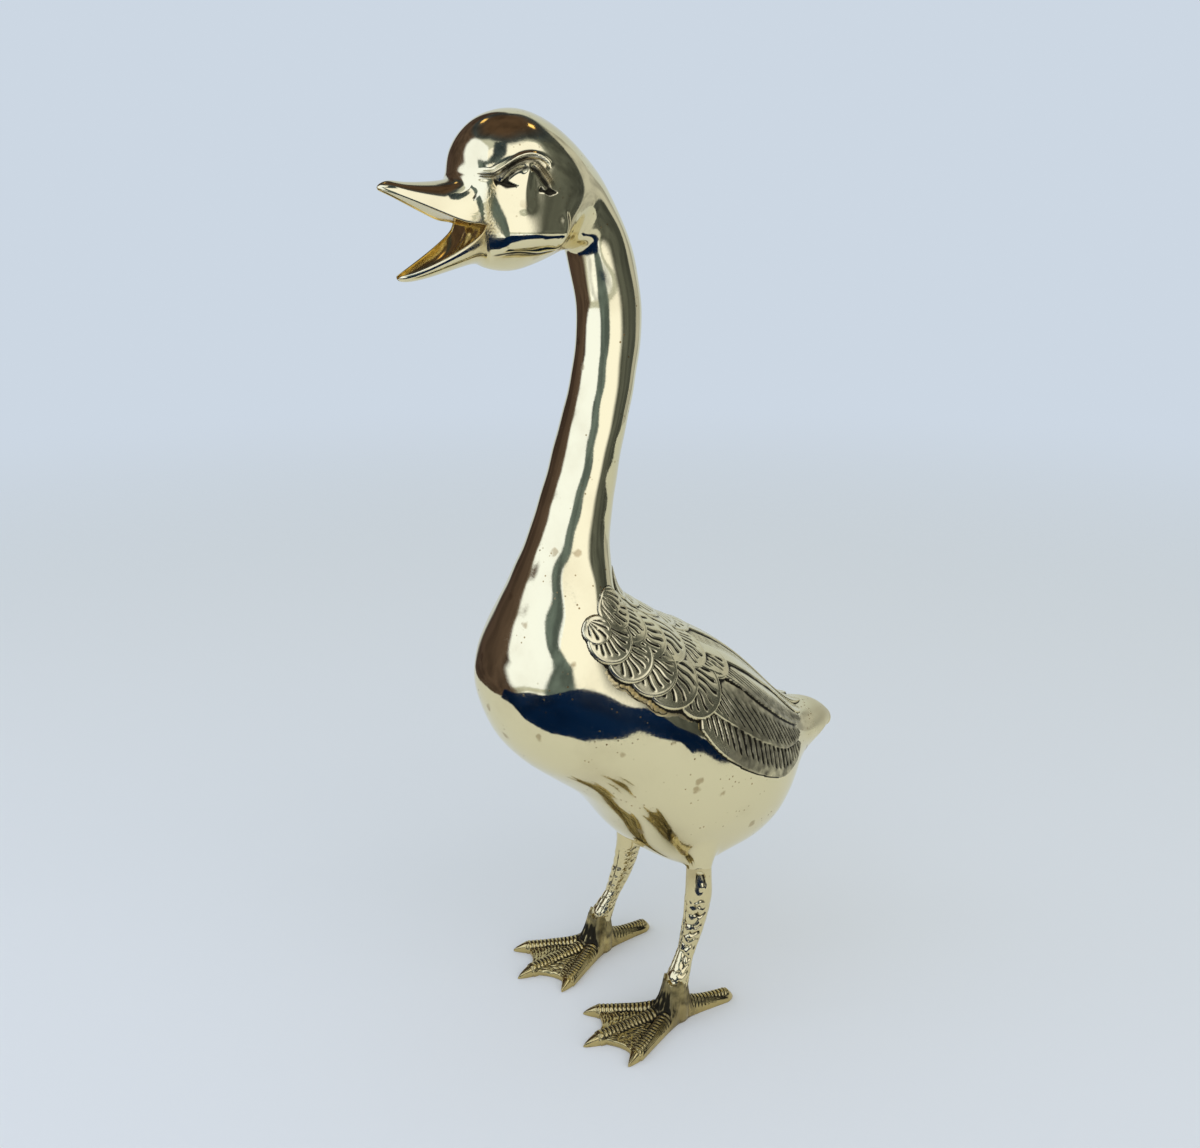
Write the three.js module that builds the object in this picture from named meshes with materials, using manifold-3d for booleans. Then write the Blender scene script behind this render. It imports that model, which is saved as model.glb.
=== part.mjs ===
// Brass goose ornament, standing with its neck raised and its bill open.
// Body, neck and head are hollow castings in two halves. Wings, bill, legs and feet are brazed or pinned on.
// Millimetres, +Z up: the goose faces -Y, its left side is +X, and its soles lie on Z = 0.
import * as THREE from 'three';
import { mergeVertices } from 'three/addons/utils/BufferGeometryUtils.js';
import Module from 'manifold-3d';

// Main sizes: from the bill to the tail, from the soles to the crown, and across the flanks
const LENGTH = 322;
const HEIGHT = 560;
const WIDTH = 140;

// Castings and joints
const CAST_WALL = 3.2;
const BRAZE_GAP = 0.3;
const SLEEVE_WALL = 2.2;
const SLEEVE_REACH = 6;
const BURIED = 2;

// Sections of the hollow skin from tail to bill: each is a plane across the goose that holds one point of
// the back line and one of the breast line. Points are shares of the length, from its middle towards the
// tail, and of the height. Half of the width there is a share of the width.
const SECTIONS = [
  { name: 'tail_tip', back: [0.492, 0.296], breast: [0.48, 0.275], half: 0.053 },
  { name: 'tail', back: [0.441, 0.316], breast: [0.431, 0.267], half: 0.137 },
  { name: 'tail_root', back: [0.352, 0.333], breast: [0.35, 0.244], half: 0.236 },
  { name: 'rump', back: [0.251, 0.383], breast: [0.277, 0.19], half: 0.372 },
  { name: 'hip', back: [0.141, 0.436], breast: [0.165, 0.166], half: 0.47 },
  { name: 'flank', back: [0.045, 0.465], breast: [-0.013, 0.191], half: 0.502 },
  { name: 'shoulder', back: [-0.017, 0.488], breast: [-0.131, 0.267], half: 0.495 },
  { name: 'breast', back: [-0.058, 0.504], breast: [-0.26, 0.329], half: 0.44 },
  { name: 'crop', back: [-0.087, 0.528], breast: [-0.337, 0.409], half: 0.366 },
  { name: 'neck_root', back: [-0.09, 0.562], breast: [-0.303, 0.487], half: 0.266 },
  { name: 'neck_low', back: [-0.081, 0.607], breast: [-0.236, 0.571], half: 0.187 },
  { name: 'neck_mid', back: [-0.051, 0.69], breast: [-0.176, 0.669], half: 0.165 },
  { name: 'neck_high', back: [-0.016, 0.777], breast: [-0.133, 0.776], half: 0.135 },
  { name: 'neck_top', back: [-0.029, 0.857], breast: [-0.146, 0.851], half: 0.136 },
  { name: 'nape', back: [-0.077, 0.918], breast: [-0.166, 0.869], half: 0.14 },
  { name: 'head_rear', back: [-0.151, 0.968], breast: [-0.219, 0.859], half: 0.206 },
  { name: 'head_mid', back: [-0.256, 1], breast: [-0.273, 0.85], half: 0.222 },
  { name: 'head_front', back: [-0.347, 0.981], breast: [-0.32, 0.855], half: 0.185 },
  { name: 'face', back: [-0.374, 0.945], breast: [-0.341, 0.863], half: 0.108 },
];
const TAIL_ROUNDING = 5;

// Places along the skin, counted in sections: the seams between castings and the ends of the hollows
const sectionAt = (name) => SECTIONS.findIndex((section) => section.name === name);
const NECK_SEAM = sectionAt('neck_root') + 0.5;
const HEAD_SEAM = sectionAt('nape');
const FACE = sectionAt('face');
const TAIL_HOLLOW = sectionAt('tail');
const HEAD_HOLLOW_END = sectionAt('head_mid') + 0.4;

// Thigh bulges of the belly, and the stumps below them that take the legs
const HIP_X = 0.293 * WIDTH;
const HIP_Y = 0.062 * LENGTH;
const THIGH_X = 0.25 * WIDTH;
const THIGH_Z = 0.196 * HEIGHT;
const THIGH_DROP = 8;
const THIGH_SPREAD = new THREE.Vector3(13, 18, 30);
const HIP_SEAM_Z = 0.17 * HEIGHT;
const STUMP_RADIUS = 8.4;
const FLARE_HEIGHT = 9;
const BOSS_WALL = 4.2;
const BOSS_CAP = 6;
const TENON_RADIUS = 5;
const TENON_LENGTH = 34;
const PIN_RADIUS = 2;
const PIN_DROP = 7;

// Legs: the hock is the knob below the stump, and the ankle stands on the foot
const HOCK_Z = 0.141 * HEIGHT;
const HOCK_BACK = 0.6;
const HOCK_RADIUS = 8.8;
const SHANK_RADIUS = 6.2;
const ANKLE_X = 0.333 * WIDTH;
const ANKLE_Y = HIP_Y - 0.064 * LENGTH;
const ANKLE_Z = 21;
const ANKLE_RADIUS = 7.2;
const SPIGOT_RADIUS = 4.4;
const SPIGOT_LENGTH = 11;

// Feet: three front toes in a web, and one hind toe
const TOE_LENGTHS = { inner: 60, middle: 68, outer: 61, hind: 45 };
const TOE_TURN = { inner: -33, middle: -3, outer: 27, hind: 176 };
const TOE_RADIUS = 6.2;
const CLAW_RADIUS = 1.6;
const HIND_TOE_RADIUS = 5;
const WEB_THICKNESS = 5.6;
const WEB_REACH = 0.9;
const WEB_DIP = 8;
const TOE_SINK = 0.45;
const COLLAR_SPREAD = 4.5;

// Bill: both blades start on the face, between two levels that are shares of its height. Their other
// sections give the upper and lower edge line as [forward, up] of the middle of the mouth, in shares of the
// length and the height, and half the width as a share of the width.
const MOUTH_LEVEL = 0.36;
const MOUTH_DEPTH = 11;
const UPPER_BILL = {
  root: { top: 0.95, bottom: 0.45, half: 0.104 },
  blade: [
    { top: [0.059, 0.041], bottom: [0.043, 0.013], half: 0.086 },
    { top: [0.099, 0.038], bottom: [0.09, 0.021], half: 0.064 },
    { top: [0.134, 0.038], bottom: [0.13, 0.027], half: 0.039 },
  ],
};
const LOWER_BILL = {
  root: { top: 0.25, bottom: 0.03, half: 0.096 },
  blade: [
    { top: [0.043, -0.022], bottom: [0.04, -0.037], half: 0.075 },
    { top: [0.084, -0.033], bottom: [0.082, -0.044], half: 0.05 },
    { top: [0.109, -0.038], bottom: [0.109, -0.046], half: 0.03 },
  ],
};
const BILL_FLATNESS = 0.6;
const BILL_TIP_ROUNDING = 5;
const BILL_TENON_RADIUS = 3.6;
const BILL_TENON_LENGTH = 9;

// Wings: cast sheets that lie on the back and flank, with rows of overlapping scales and long flight
// feathers in relief. Places count sections along the skin, angles are degrees down from the back line, and
// heights are measured from the skin.
const WING_BED = 6;
const SHEET_HEIGHT = 1.3;
const SHEET_FRONT = sectionAt('crop') + 0.85;
const SHEET_END = sectionAt('hip') + 0.3;
const SHEET_LOWER_EDGE = [76, 74, 71, 68, 65, 61, 58];
const PAST_MIDDLE = 4;
// Scales: place and angle of the middle, and radius. The rim is highest where the row leans, in degrees
// from the rear towards the ground.
const SCALE_ROWS = [
  {
    lean: 55,
    scales: [
      [8.32, 78, 8.6], [7.98, 66, 16.1], [7.31, 63, 16.7], [6.7, 60, 18.3], [6.1, 56, 22.6],
      [5.32, 52, 22.8],
    ],
  },
  {
    lean: 35,
    scales: [
      [8.42, 55.5, 8.5], [8.15, 53, 13], [7.55, 45, 15.7], [7.04, 43, 19.2], [6.27, 34, 23], [5.23, 31, 17.8],
      [4.58, 35, 14.2],
    ],
  },
  {
    lean: 20,
    scales: [[8.2, 22, 13], [7.4, 12, 15.5], [6.5, 8, 19], [5.7, 5, 22], [5.1, 5, 19]],
  },
];
const SCALE_HEIGHT = 1.5;
const SCALE_TILT = 0.9;
const SCALE_CROWN = 0.5;
const SCALE_LOWEST = 1;
const SCALE_SHOULDER = 0.5;
// Flight feathers from the ridge down: place, and angles of the upper and the lower edge, from root to tip
const FEATHERS = [
  [[4.9, -4, 12], [4.1, -4, 16], [3.3, -4, 17], [2.5, -4, 20], [1.9, 0, 27], [1.6, 8, 24]],
  [[4.9, 12, 32], [4.1, 14, 35], [3.3, 16, 37], [2.7, 18, 37], [2.2, 24, 45.5], [1.8, 30, 46]],
  [[5, 28, 42], [4.3, 32, 45], [3.8, 34, 54], [3.3, 35, 58], [2.7, 35, 60], [2.2, 44, 58]],
  [[5.1, 44, 62], [4.6, 44, 66.5], [4, 50, 74], [3.4, 56, 78], [2.9, 58, 76], [2.45, 60, 72]],
  [[5.3, 60, 74], [4.8, 62, 81], [4.2, 70, 88], [3.5, 76, 94], [3, 76, 90.5], [2.65, 73, 82]],
];
const FEATHER_LOW = 1.1;
const FEATHER_TILT = 1.3;

// Fineness of the faceted skins
const STEPS_PER_SECTION = 2;
const SKIN_SIDES = 24;
const ROUND_SIDES = 12;
const LEG_STEPS = 9;
const SHEET_LENGTH_STEPS = 8;
const SHEET_DEPTH_STEPS = 7;
const FEATHER_DEPTH_STEPS = 3;
const SCALE_SIDES = 10;
const ROUNDING_DEGREES = [30, 55, 78];
const SCALE_PASSES = 5;

const wasm = await Module();
wasm.setup();

// Brass finishes
const polishedBrass = new THREE.MeshStandardMaterial({ color: 0xd9c58c, roughness: 0.12, metalness: 1 });
const chasedBrass = new THREE.MeshStandardMaterial({ color: 0xb89f5f, roughness: 0.32, metalness: 1 });
const antiqueBrass = new THREE.MeshStandardMaterial({ color: 0x8c713c, roughness: 0.45, metalness: 1 });
const rawBrass = new THREE.MeshStandardMaterial({ color: 0xa98a45, roughness: 0.6, metalness: 1 });

// A closed geometry as a solid for cutting and joining, and back again
function solid(geometry) {
  const bare = geometry.clone();
  bare.deleteAttribute('normal');
  bare.deleteAttribute('uv');
  const merged = mergeVertices(bare, 1e-4);
  const vertProperties = merged.attributes.position.array;
  const triVerts = new Uint32Array(merged.index.array);
  return new wasm.Manifold(new wasm.Mesh({ numProp: 3, vertProperties, triVerts }));
}

function geometryOf(cutSolid) {
  const mesh = cutSolid.getMesh();
  const geometry = new THREE.BufferGeometry();
  geometry.setAttribute('position', new THREE.BufferAttribute(mesh.vertProperties, 3));
  geometry.setIndex(new THREE.BufferAttribute(mesh.triVerts, 1));
  geometry.computeVertexNormals();
  return geometry;
}

// A surface through points with its triangles turned to face out
function closedSurface(points, triangles) {
  let volume = 0;
  for (let i = 0; i < triangles.length; i += 3) {
    const [a, b, c] = triangles.slice(i, i + 3).map((index) => points[index]);
    volume += a.dot(b.clone().cross(c));
  }
  const geometry = new THREE.BufferGeometry().setFromPoints(points);
  geometry.setIndex(volume < 0 ? triangles.slice().reverse() : triangles);
  return geometry;
}

// A skin stretched over rings of points, closed at both ends
function loft(rings) {
  const sides = rings[0].length;
  const points = rings.flat();
  const triangles = [];
  for (let ring = 0; ring + 1 < rings.length; ring++) {
    for (let side = 0; side < sides; side++) {
      const a = ring * sides + side;
      const b = ring * sides + (side + 1) % sides;
      triangles.push(a, b, b + sides, a, b + sides, a + sides);
    }
  }
  const centreOf = (ring) => ring.reduce((sum, p) => sum.add(p), new THREE.Vector3()).divideScalar(sides);
  const firstCentre = points.push(centreOf(rings[0])) - 1;
  const lastCentre = points.push(centreOf(rings.at(-1))) - 1;
  const lastRing = (rings.length - 1) * sides;
  for (let side = 0; side < sides; side++) {
    const next = (side + 1) % sides;
    triangles.push(firstCentre, next, side);
    triangles.push(lastCentre, lastRing + side, lastRing + next);
  }
  return closedSurface(points, triangles);
}

// Rings that round off an end: the last ring shrinks as it moves out by the given depth
function roundedEnd(ring, outward, depth) {
  const centre = ring.reduce((sum, p) => sum.add(p), new THREE.Vector3()).divideScalar(ring.length);
  return ROUNDING_DEGREES.map((degrees) => {
    const turn = THREE.MathUtils.degToRad(degrees);
    const shift = outward.clone().multiplyScalar(depth * Math.sin(turn));
    return ring.map((p) => p.clone().sub(centre).multiplyScalar(Math.cos(turn)).add(centre).add(shift));
  });
}

// A round bar between two points
function bar(from, to, radius) {
  const along = to.clone().sub(from);
  const geometry = new THREE.CylinderGeometry(radius, radius, along.length(), ROUND_SIDES);
  const up = new THREE.Vector3(0, 1, 0);
  geometry.applyQuaternion(new THREE.Quaternion().setFromUnitVectors(up, along.clone().normalize()));
  const middle = from.clone().add(to).multiplyScalar(0.5);
  return solid(geometry.translate(middle.x, middle.y, middle.z));
}

// A turned shape on a vertical axis, from [radius, z] points that start and end on the axis
function turned(profile, x, y) {
  const geometry = new THREE.LatheGeometry(profile.map(([r, z]) => new THREE.Vector2(r, z)), ROUND_SIDES);
  return solid(geometry.rotateX(Math.PI / 2).translate(x, y, 0));
}

function block(low, high) {
  const size = high.clone().sub(low);
  const middle = high.clone().add(low).multiplyScalar(0.5);
  return solid(new THREE.BoxGeometry(size.x, size.y, size.z).translate(middle.x, middle.y, middle.z));
}

// Smooth lines through the sections
const lineThrough = (points) => new THREE.CatmullRomCurve3(points, false, 'catmullrom', 0.5);
const lastSection = SECTIONS.length - 1;
const onMiddle = ([along, up]) => new THREE.Vector3(0, along * LENGTH, up * HEIGHT);
const backLine = lineThrough(SECTIONS.map(({ back }) => onMiddle(back)));
const breastLine = lineThrough(SECTIONS.map(({ breast }) => onMiddle(breast)));
const halfLine = lineThrough(SECTIONS.map(({ half }, index) => new THREE.Vector3(half * WIDTH, index, 0)));

// A point of the skin: angle 0 is the back line, 180 degrees the breast line, and inset lies inside it
function skinPoint(place, angle, inset) {
  const share = THREE.MathUtils.clamp(place / lastSection, 0, 1);
  const back = backLine.getPoint(share);
  const breast = breastLine.getPoint(share);
  const up = back.clone().sub(breast);
  const reach = up.length() / 2 - inset;
  const point = back.add(breast).multiplyScalar(0.5);
  point.addScaledVector(up.normalize(), reach * Math.cos(angle));
  point.x = (halfLine.getPoint(share).x - inset) * Math.sin(angle);
  const thigh = new THREE.Vector3(Math.abs(point.x) - THIGH_X, point.y - HIP_Y, point.z - THIGH_Z);
  point.z -= THIGH_DROP * Math.exp(-thigh.divide(THIGH_SPREAD).lengthSq() / 2);
  return point;
}

function skinRing(place, inset) {
  const turns = Array.from({ length: SKIN_SIDES }, (_, side) => (2 * Math.PI * side) / SKIN_SIDES);
  return turns.map((angle) => skinPoint(place, angle, inset));
}

function skinSolid(from, to, inset) {
  const places = [from];
  for (let step = Math.floor(from * STEPS_PER_SECTION) + 1; step < to * STEPS_PER_SECTION; step++) {
    places.push(step / STEPS_PER_SECTION);
  }
  const rings = [...places, to].map((place) => skinRing(place, inset));
  if (from === 0) {
    const tailward = backLine.getTangent(0).negate();
    rings.unshift(...roundedEnd(rings[0], tailward, TAIL_ROUNDING).reverse());
  }
  return solid(loft(rings));
}

// Millimetres between neighbouring sections, where they lie closest
function sectionSpacing(place) {
  const nudge = 0.05;
  const travel = (line) => {
    const from = line.getPoint((place - nudge) / lastSection);
    return line.getPoint((place + nudge) / lastSection).distanceTo(from) / (2 * nudge);
  };
  return Math.min(travel(backLine), travel(breastLine));
}

// Blocks that cut a piece at the middle plane and at the ground
const cutReach = LENGTH + HEIGHT;
const leftSide = block(
  new THREE.Vector3(BRAZE_GAP / 2, -cutReach, -cutReach),
  new THREE.Vector3(cutReach, cutReach, cutReach),
);
const aboveGround = block(
  new THREE.Vector3(-cutReach, -cutReach, 0),
  new THREE.Vector3(cutReach, cutReach, cutReach),
);

// One half of a hollow casting between two places of the skin
function leftShell(from, to, hollowFrom, hollowTo) {
  const hollow = skinSolid(hollowFrom, hollowTo, CAST_WALL);
  return skinSolid(from, to, 0).subtract(hollow).intersect(leftSide);
}

const neckSeamHalf = BRAZE_GAP / sectionSpacing(NECK_SEAM) / 2;
const headSeamHalf = BRAZE_GAP / sectionSpacing(HEAD_SEAM) / 2;
const BEYOND_SEAM = 0.3;

// Body half with its hip stump: a flared boss bored for the tenon of the leg and cross-bored for the pin
const boreRadius = TENON_RADIUS + BRAZE_GAP;
const bossRadius = boreRadius + BOSS_WALL;
const tenonTop = HIP_SEAM_Z + TENON_LENGTH;
const pinZ = tenonTop - PIN_DROP;
const flare = (share) => THREE.MathUtils.lerp(STUMP_RADIUS, bossRadius, share ** 2);
const stump = turned([
  [0, HIP_SEAM_Z],
  ...[0, 0.4, 0.75, 1].map((share) => [flare(share), HIP_SEAM_Z + FLARE_HEIGHT * share]),
  [bossRadius, tenonTop + BRAZE_GAP + BOSS_CAP],
  [0, tenonTop + BRAZE_GAP + BOSS_CAP],
], HIP_X, HIP_Y);
const tenonBore = bar(
  new THREE.Vector3(HIP_X, HIP_Y, HIP_SEAM_Z - BOSS_CAP),
  new THREE.Vector3(HIP_X, HIP_Y, tenonTop + BRAZE_GAP),
  boreRadius,
);
const pinEnd = (side, reach) => new THREE.Vector3(HIP_X, HIP_Y + side * reach, pinZ);
const pinBore = bar(pinEnd(-1, bossRadius + BURIED), pinEnd(1, bossRadius + BURIED), PIN_RADIUS + BRAZE_GAP);
const bodyShell = leftShell(0, NECK_SEAM - neckSeamHalf, TAIL_HOLLOW, NECK_SEAM + BEYOND_SEAM)
  .add(stump).subtract(tenonBore).subtract(pinBore);
const hipPin = bar(pinEnd(-1, bossRadius), pinEnd(1, bossRadius), PIN_RADIUS);

// Neck half
const neckShell = leftShell(
  NECK_SEAM + neckSeamHalf,
  HEAD_SEAM - headSeamHalf,
  NECK_SEAM - BEYOND_SEAM,
  HEAD_SEAM + BEYOND_SEAM,
);

// Backing sleeve inside a seam: a ring that reaches into the castings on both sides
function sleeve(seam) {
  const reach = SLEEVE_REACH / sectionSpacing(seam);
  const outside = CAST_WALL + BRAZE_GAP;
  const lining = skinSolid(seam - 1, seam + 1, outside);
  const core = skinSolid(seam - 1, seam + 1, outside + SLEEVE_WALL);
  const stretch = skinSolid(seam - reach, seam + reach, 0);
  return lining.subtract(core).intersect(stretch);
}

// Face: the flat front of the head, where the bill is joined
const faceTop = backLine.getPoint(1);
const faceFoot = breastLine.getPoint(1);
const faceUp = faceTop.clone().sub(faceFoot).normalize();
const faceNormal = new THREE.Vector3(0, -faceUp.z, faceUp.y);
const facePoint = (level) => faceFoot.clone().lerp(faceTop, level);
const mouth = facePoint(MOUTH_LEVEL);
const mouthCorner = mouth.clone().addScaledVector(faceNormal, -MOUTH_DEPTH);

// Edge points of each section of a bill blade, from the face to the tip
function bladeSections({ root, blade }) {
  const forward = ([ahead, up]) => mouth.clone().add(onMiddle([-ahead, up]));
  const first = { top: facePoint(root.top), bottom: facePoint(root.bottom), half: root.half * WIDTH };
  return [first, ...blade.map(({ top, bottom, half }) => (
    { top: forward(top), bottom: forward(bottom), half: half * WIDTH }
  ))];
}
const midOf = ({ top, bottom }) => top.clone().add(bottom).multiplyScalar(0.5);

function billTenon(bill, growth) {
  const root = midOf(bladeSections(bill)[0]);
  const inner = root.clone().addScaledVector(faceNormal, -(BILL_TENON_LENGTH + growth));
  const outer = root.clone().addScaledVector(faceNormal, BURIED + growth);
  return bar(inner, outer, BILL_TENON_RADIUS + growth);
}

// Head half, with the corner of the mouth cut in and bored for the tenons of the bill
function mouthWedge() {
  const past = 3;
  const ahead = (level) => mouthCorner.clone().lerp(facePoint(level), past);
  const ring = (x) => [mouthCorner, ahead(UPPER_BILL.root.bottom), ahead(LOWER_BILL.root.top)]
    .map((point) => point.clone().setX(x));
  return solid(loft([ring(-WIDTH), ring(WIDTH)]));
}
const headShell = leftShell(HEAD_SEAM + headSeamHalf, FACE, HEAD_SEAM - BEYOND_SEAM, HEAD_HOLLOW_END)
  .subtract(mouthWedge())
  .subtract(billTenon(UPPER_BILL, BRAZE_GAP))
  .subtract(billTenon(LOWER_BILL, BRAZE_GAP));

// Bill blade: rounded outside and flatter towards the mouth, with a tenon at its root
function billBlade(bill, flatSide) {
  const sections = bladeSections(bill);
  const rings = sections.map(({ top, bottom, half }) => {
    const middle = midOf({ top, bottom });
    const up = top.clone().sub(bottom).multiplyScalar(0.5);
    return Array.from({ length: ROUND_SIDES }, (_, side) => {
      const angle = (2 * Math.PI * side) / ROUND_SIDES;
      const rise = Math.cos(angle);
      const stretch = rise * flatSide > 0 ? 1 - BILL_FLATNESS : 1 + BILL_FLATNESS;
      const point = middle.clone().addScaledVector(up, BILL_FLATNESS * flatSide + rise * stretch);
      point.x = half * Math.sin(angle);
      return point.addScaledVector(faceNormal, BRAZE_GAP);
    });
  });
  const outward = midOf(sections.at(-1)).sub(midOf(sections.at(-2))).normalize();
  rings.push(...roundedEnd(rings.at(-1), outward, BILL_TIP_ROUNDING));
  return solid(loft(rings)).add(billTenon(bill, 0));
}

// A plate laid over the skin, from rows of [place, angle, height] that all have the same length
function plate(rows) {
  const columns = rows[0].length;
  const points = [];
  const triangles = [];
  for (const [place, angle, height] of rows.flat()) {
    const turn = THREE.MathUtils.degToRad(angle);
    points.push(skinPoint(place, turn, -height), skinPoint(place, turn, WING_BED));
  }
  const index = (row, column, under) => 2 * (row * columns + column) + under;
  const quad = (a, b, c, d) => triangles.push(a, b, c, a, c, d);
  const wall = (from, to) => quad(index(...from, 0), index(...to, 0), index(...to, 1), index(...from, 1));
  const lastRow = rows.length - 1;
  const lastColumn = columns - 1;
  for (let row = 0; row < lastRow; row++) {
    for (let column = 0; column < lastColumn; column++) {
      const corners = (under) => [
        index(row, column, under), index(row, column + 1, under),
        index(row + 1, column + 1, under), index(row + 1, column, under),
      ];
      quad(...corners(0));
      quad(...corners(1).reverse());
    }
    wall([row, 0], [row + 1, 0]);
    wall([row + 1, lastColumn], [row, lastColumn]);
  }
  for (let column = 0; column < lastColumn; column++) {
    wall([0, column + 1], [0, column]);
    wall([lastRow, column], [lastRow, column + 1]);
  }
  return solid(closedSurface(points, triangles));
}

const evenSteps = (steps) => Array.from({ length: steps + 1 }, (_, step) => step / steps);

function wingSheet() {
  const lowerEdge = lineThrough(SHEET_LOWER_EDGE.map((angle, index) => new THREE.Vector3(angle, index, 0)));
  return plate(evenSteps(SHEET_LENGTH_STEPS).map((along) => evenSteps(SHEET_DEPTH_STEPS).map((down) => [
    THREE.MathUtils.lerp(SHEET_FRONT, SHEET_END, along),
    THREE.MathUtils.lerp(-PAST_MIDDLE, lowerEdge.getPoint(along).x, down),
    SHEET_HEIGHT,
  ])));
}

// Flight feather: low at its upper edge and its root, where the piece before it lies over it
function feather(stations) {
  return plate(stations.map(([place, upper, lower], row) => evenSteps(FEATHER_DEPTH_STEPS).map((down) => [
    place,
    THREE.MathUtils.lerp(upper, lower, down),
    FEATHER_LOW + (row > 0 ? FEATHER_TILT * down : 0),
  ])));
}

// Scale: a round plate, tilted up towards the way its row leans. Its rim is found in the plane that touches
// the skin at its middle, by nudging the place and the angle until they lie where they should.
function scale([place, angle, radius], lean) {
  const start = THREE.MathUtils.degToRad(angle);
  const nudge = 0.02;
  const middle = skinPoint(place, start, 0);
  const byPlace = skinPoint(place + nudge, start, 0).sub(middle).divideScalar(nudge);
  const byTurn = skinPoint(place, start + nudge, 0).sub(middle).divideScalar(nudge);
  const outward = byPlace.clone().cross(byTurn).normalize();
  const rear = new THREE.Vector3(0, 1, 0).projectOnPlane(outward).normalize();
  const down = rear.clone().cross(outward);
  down.multiplyScalar(-Math.sign(down.z));
  const stretch = new THREE.Matrix3().set(
    byPlace.dot(rear), byTurn.dot(rear), 0,
    byPlace.dot(down), byTurn.dot(down), 0,
    0, 0, 1,
  ).invert();
  const ring = (share, heightAt) => Array.from({ length: SCALE_SIDES }, (_, side) => {
    const way = (2 * Math.PI * side) / SCALE_SIDES;
    const aim = new THREE.Vector3(Math.cos(way), Math.sin(way), 0).multiplyScalar(radius * share);
    const at = new THREE.Vector3(place, start, 0);
    for (let pass = 0; pass < SCALE_PASSES; pass++) {
      const offset = skinPoint(at.x, at.y, 0).sub(middle);
      const miss = aim.clone().sub(new THREE.Vector3(offset.dot(rear), offset.dot(down), 0));
      at.add(miss.applyMatrix3(stretch));
    }
    return skinPoint(at.x, at.y, -heightAt(Math.cos(way - THREE.MathUtils.degToRad(lean))));
  });
  const rimHeight = (tilt) => Math.max(SCALE_LOWEST, SCALE_HEIGHT + SCALE_TILT * tilt);
  return solid(loft([
    ring(1, () => -WING_BED),
    ring(1, rimHeight),
    ring(SCALE_SHOULDER, (tilt) => rimHeight(tilt * SCALE_SHOULDER) + SCALE_CROWN),
  ]));
}

function wing() {
  const scales = SCALE_ROWS.flatMap((row) => row.scales.map((one) => scale(one, row.lean)));
  const bed = skinSolid(0, NECK_SEAM, -BRAZE_GAP);
  return [...FEATHERS.map(feather), ...scales]
    .reduce((joined, piece) => joined.add(piece), wingSheet())
    .subtract(bed)
    .intersect(leftSide);
}

// Leg: a solid bar through the hock to the ankle, with a tenon above and a spigot below
function leg() {
  const legTop = HIP_SEAM_Z - BRAZE_GAP;
  const legEnd = ANKLE_Z + BRAZE_GAP;
  const axis = lineThrough([
    new THREE.Vector3(HIP_X, HIP_Y, legTop),
    new THREE.Vector3(HIP_X, HIP_Y + HOCK_BACK, HOCK_Z),
    new THREE.Vector3((HIP_X + ANKLE_X) / 2, (HIP_Y + ANKLE_Y) / 2, (HOCK_Z + ANKLE_Z) / 2),
    new THREE.Vector3(ANKLE_X, ANKLE_Y, legEnd),
  ]);
  const radii = [STUMP_RADIUS, HOCK_RADIUS, SHANK_RADIUS, ANKLE_RADIUS];
  const girth = lineThrough(radii.map((radius, index) => new THREE.Vector3(radius, index, 0)));
  const rings = Array.from({ length: LEG_STEPS + 1 }, (_, step) => {
    const centre = axis.getPoint(step / LEG_STEPS);
    const radius = girth.getPoint(step / LEG_STEPS).x;
    return Array.from({ length: ROUND_SIDES }, (_, side) => {
      const angle = (2 * Math.PI * side) / ROUND_SIDES;
      return new THREE.Vector3(radius * Math.sin(angle), radius * Math.cos(angle), 0).add(centre);
    });
  });
  const tenon = bar(
    new THREE.Vector3(HIP_X, HIP_Y, legTop - BURIED),
    new THREE.Vector3(HIP_X, HIP_Y, tenonTop),
    TENON_RADIUS,
  );
  const spigot = bar(
    new THREE.Vector3(ANKLE_X, ANKLE_Y, ANKLE_Z - SPIGOT_LENGTH),
    new THREE.Vector3(ANKLE_X, ANKLE_Y, legEnd + BURIED),
    SPIGOT_RADIUS,
  );
  return solid(loft(rings)).add(tenon).add(spigot).subtract(pinBore);
}

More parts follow.
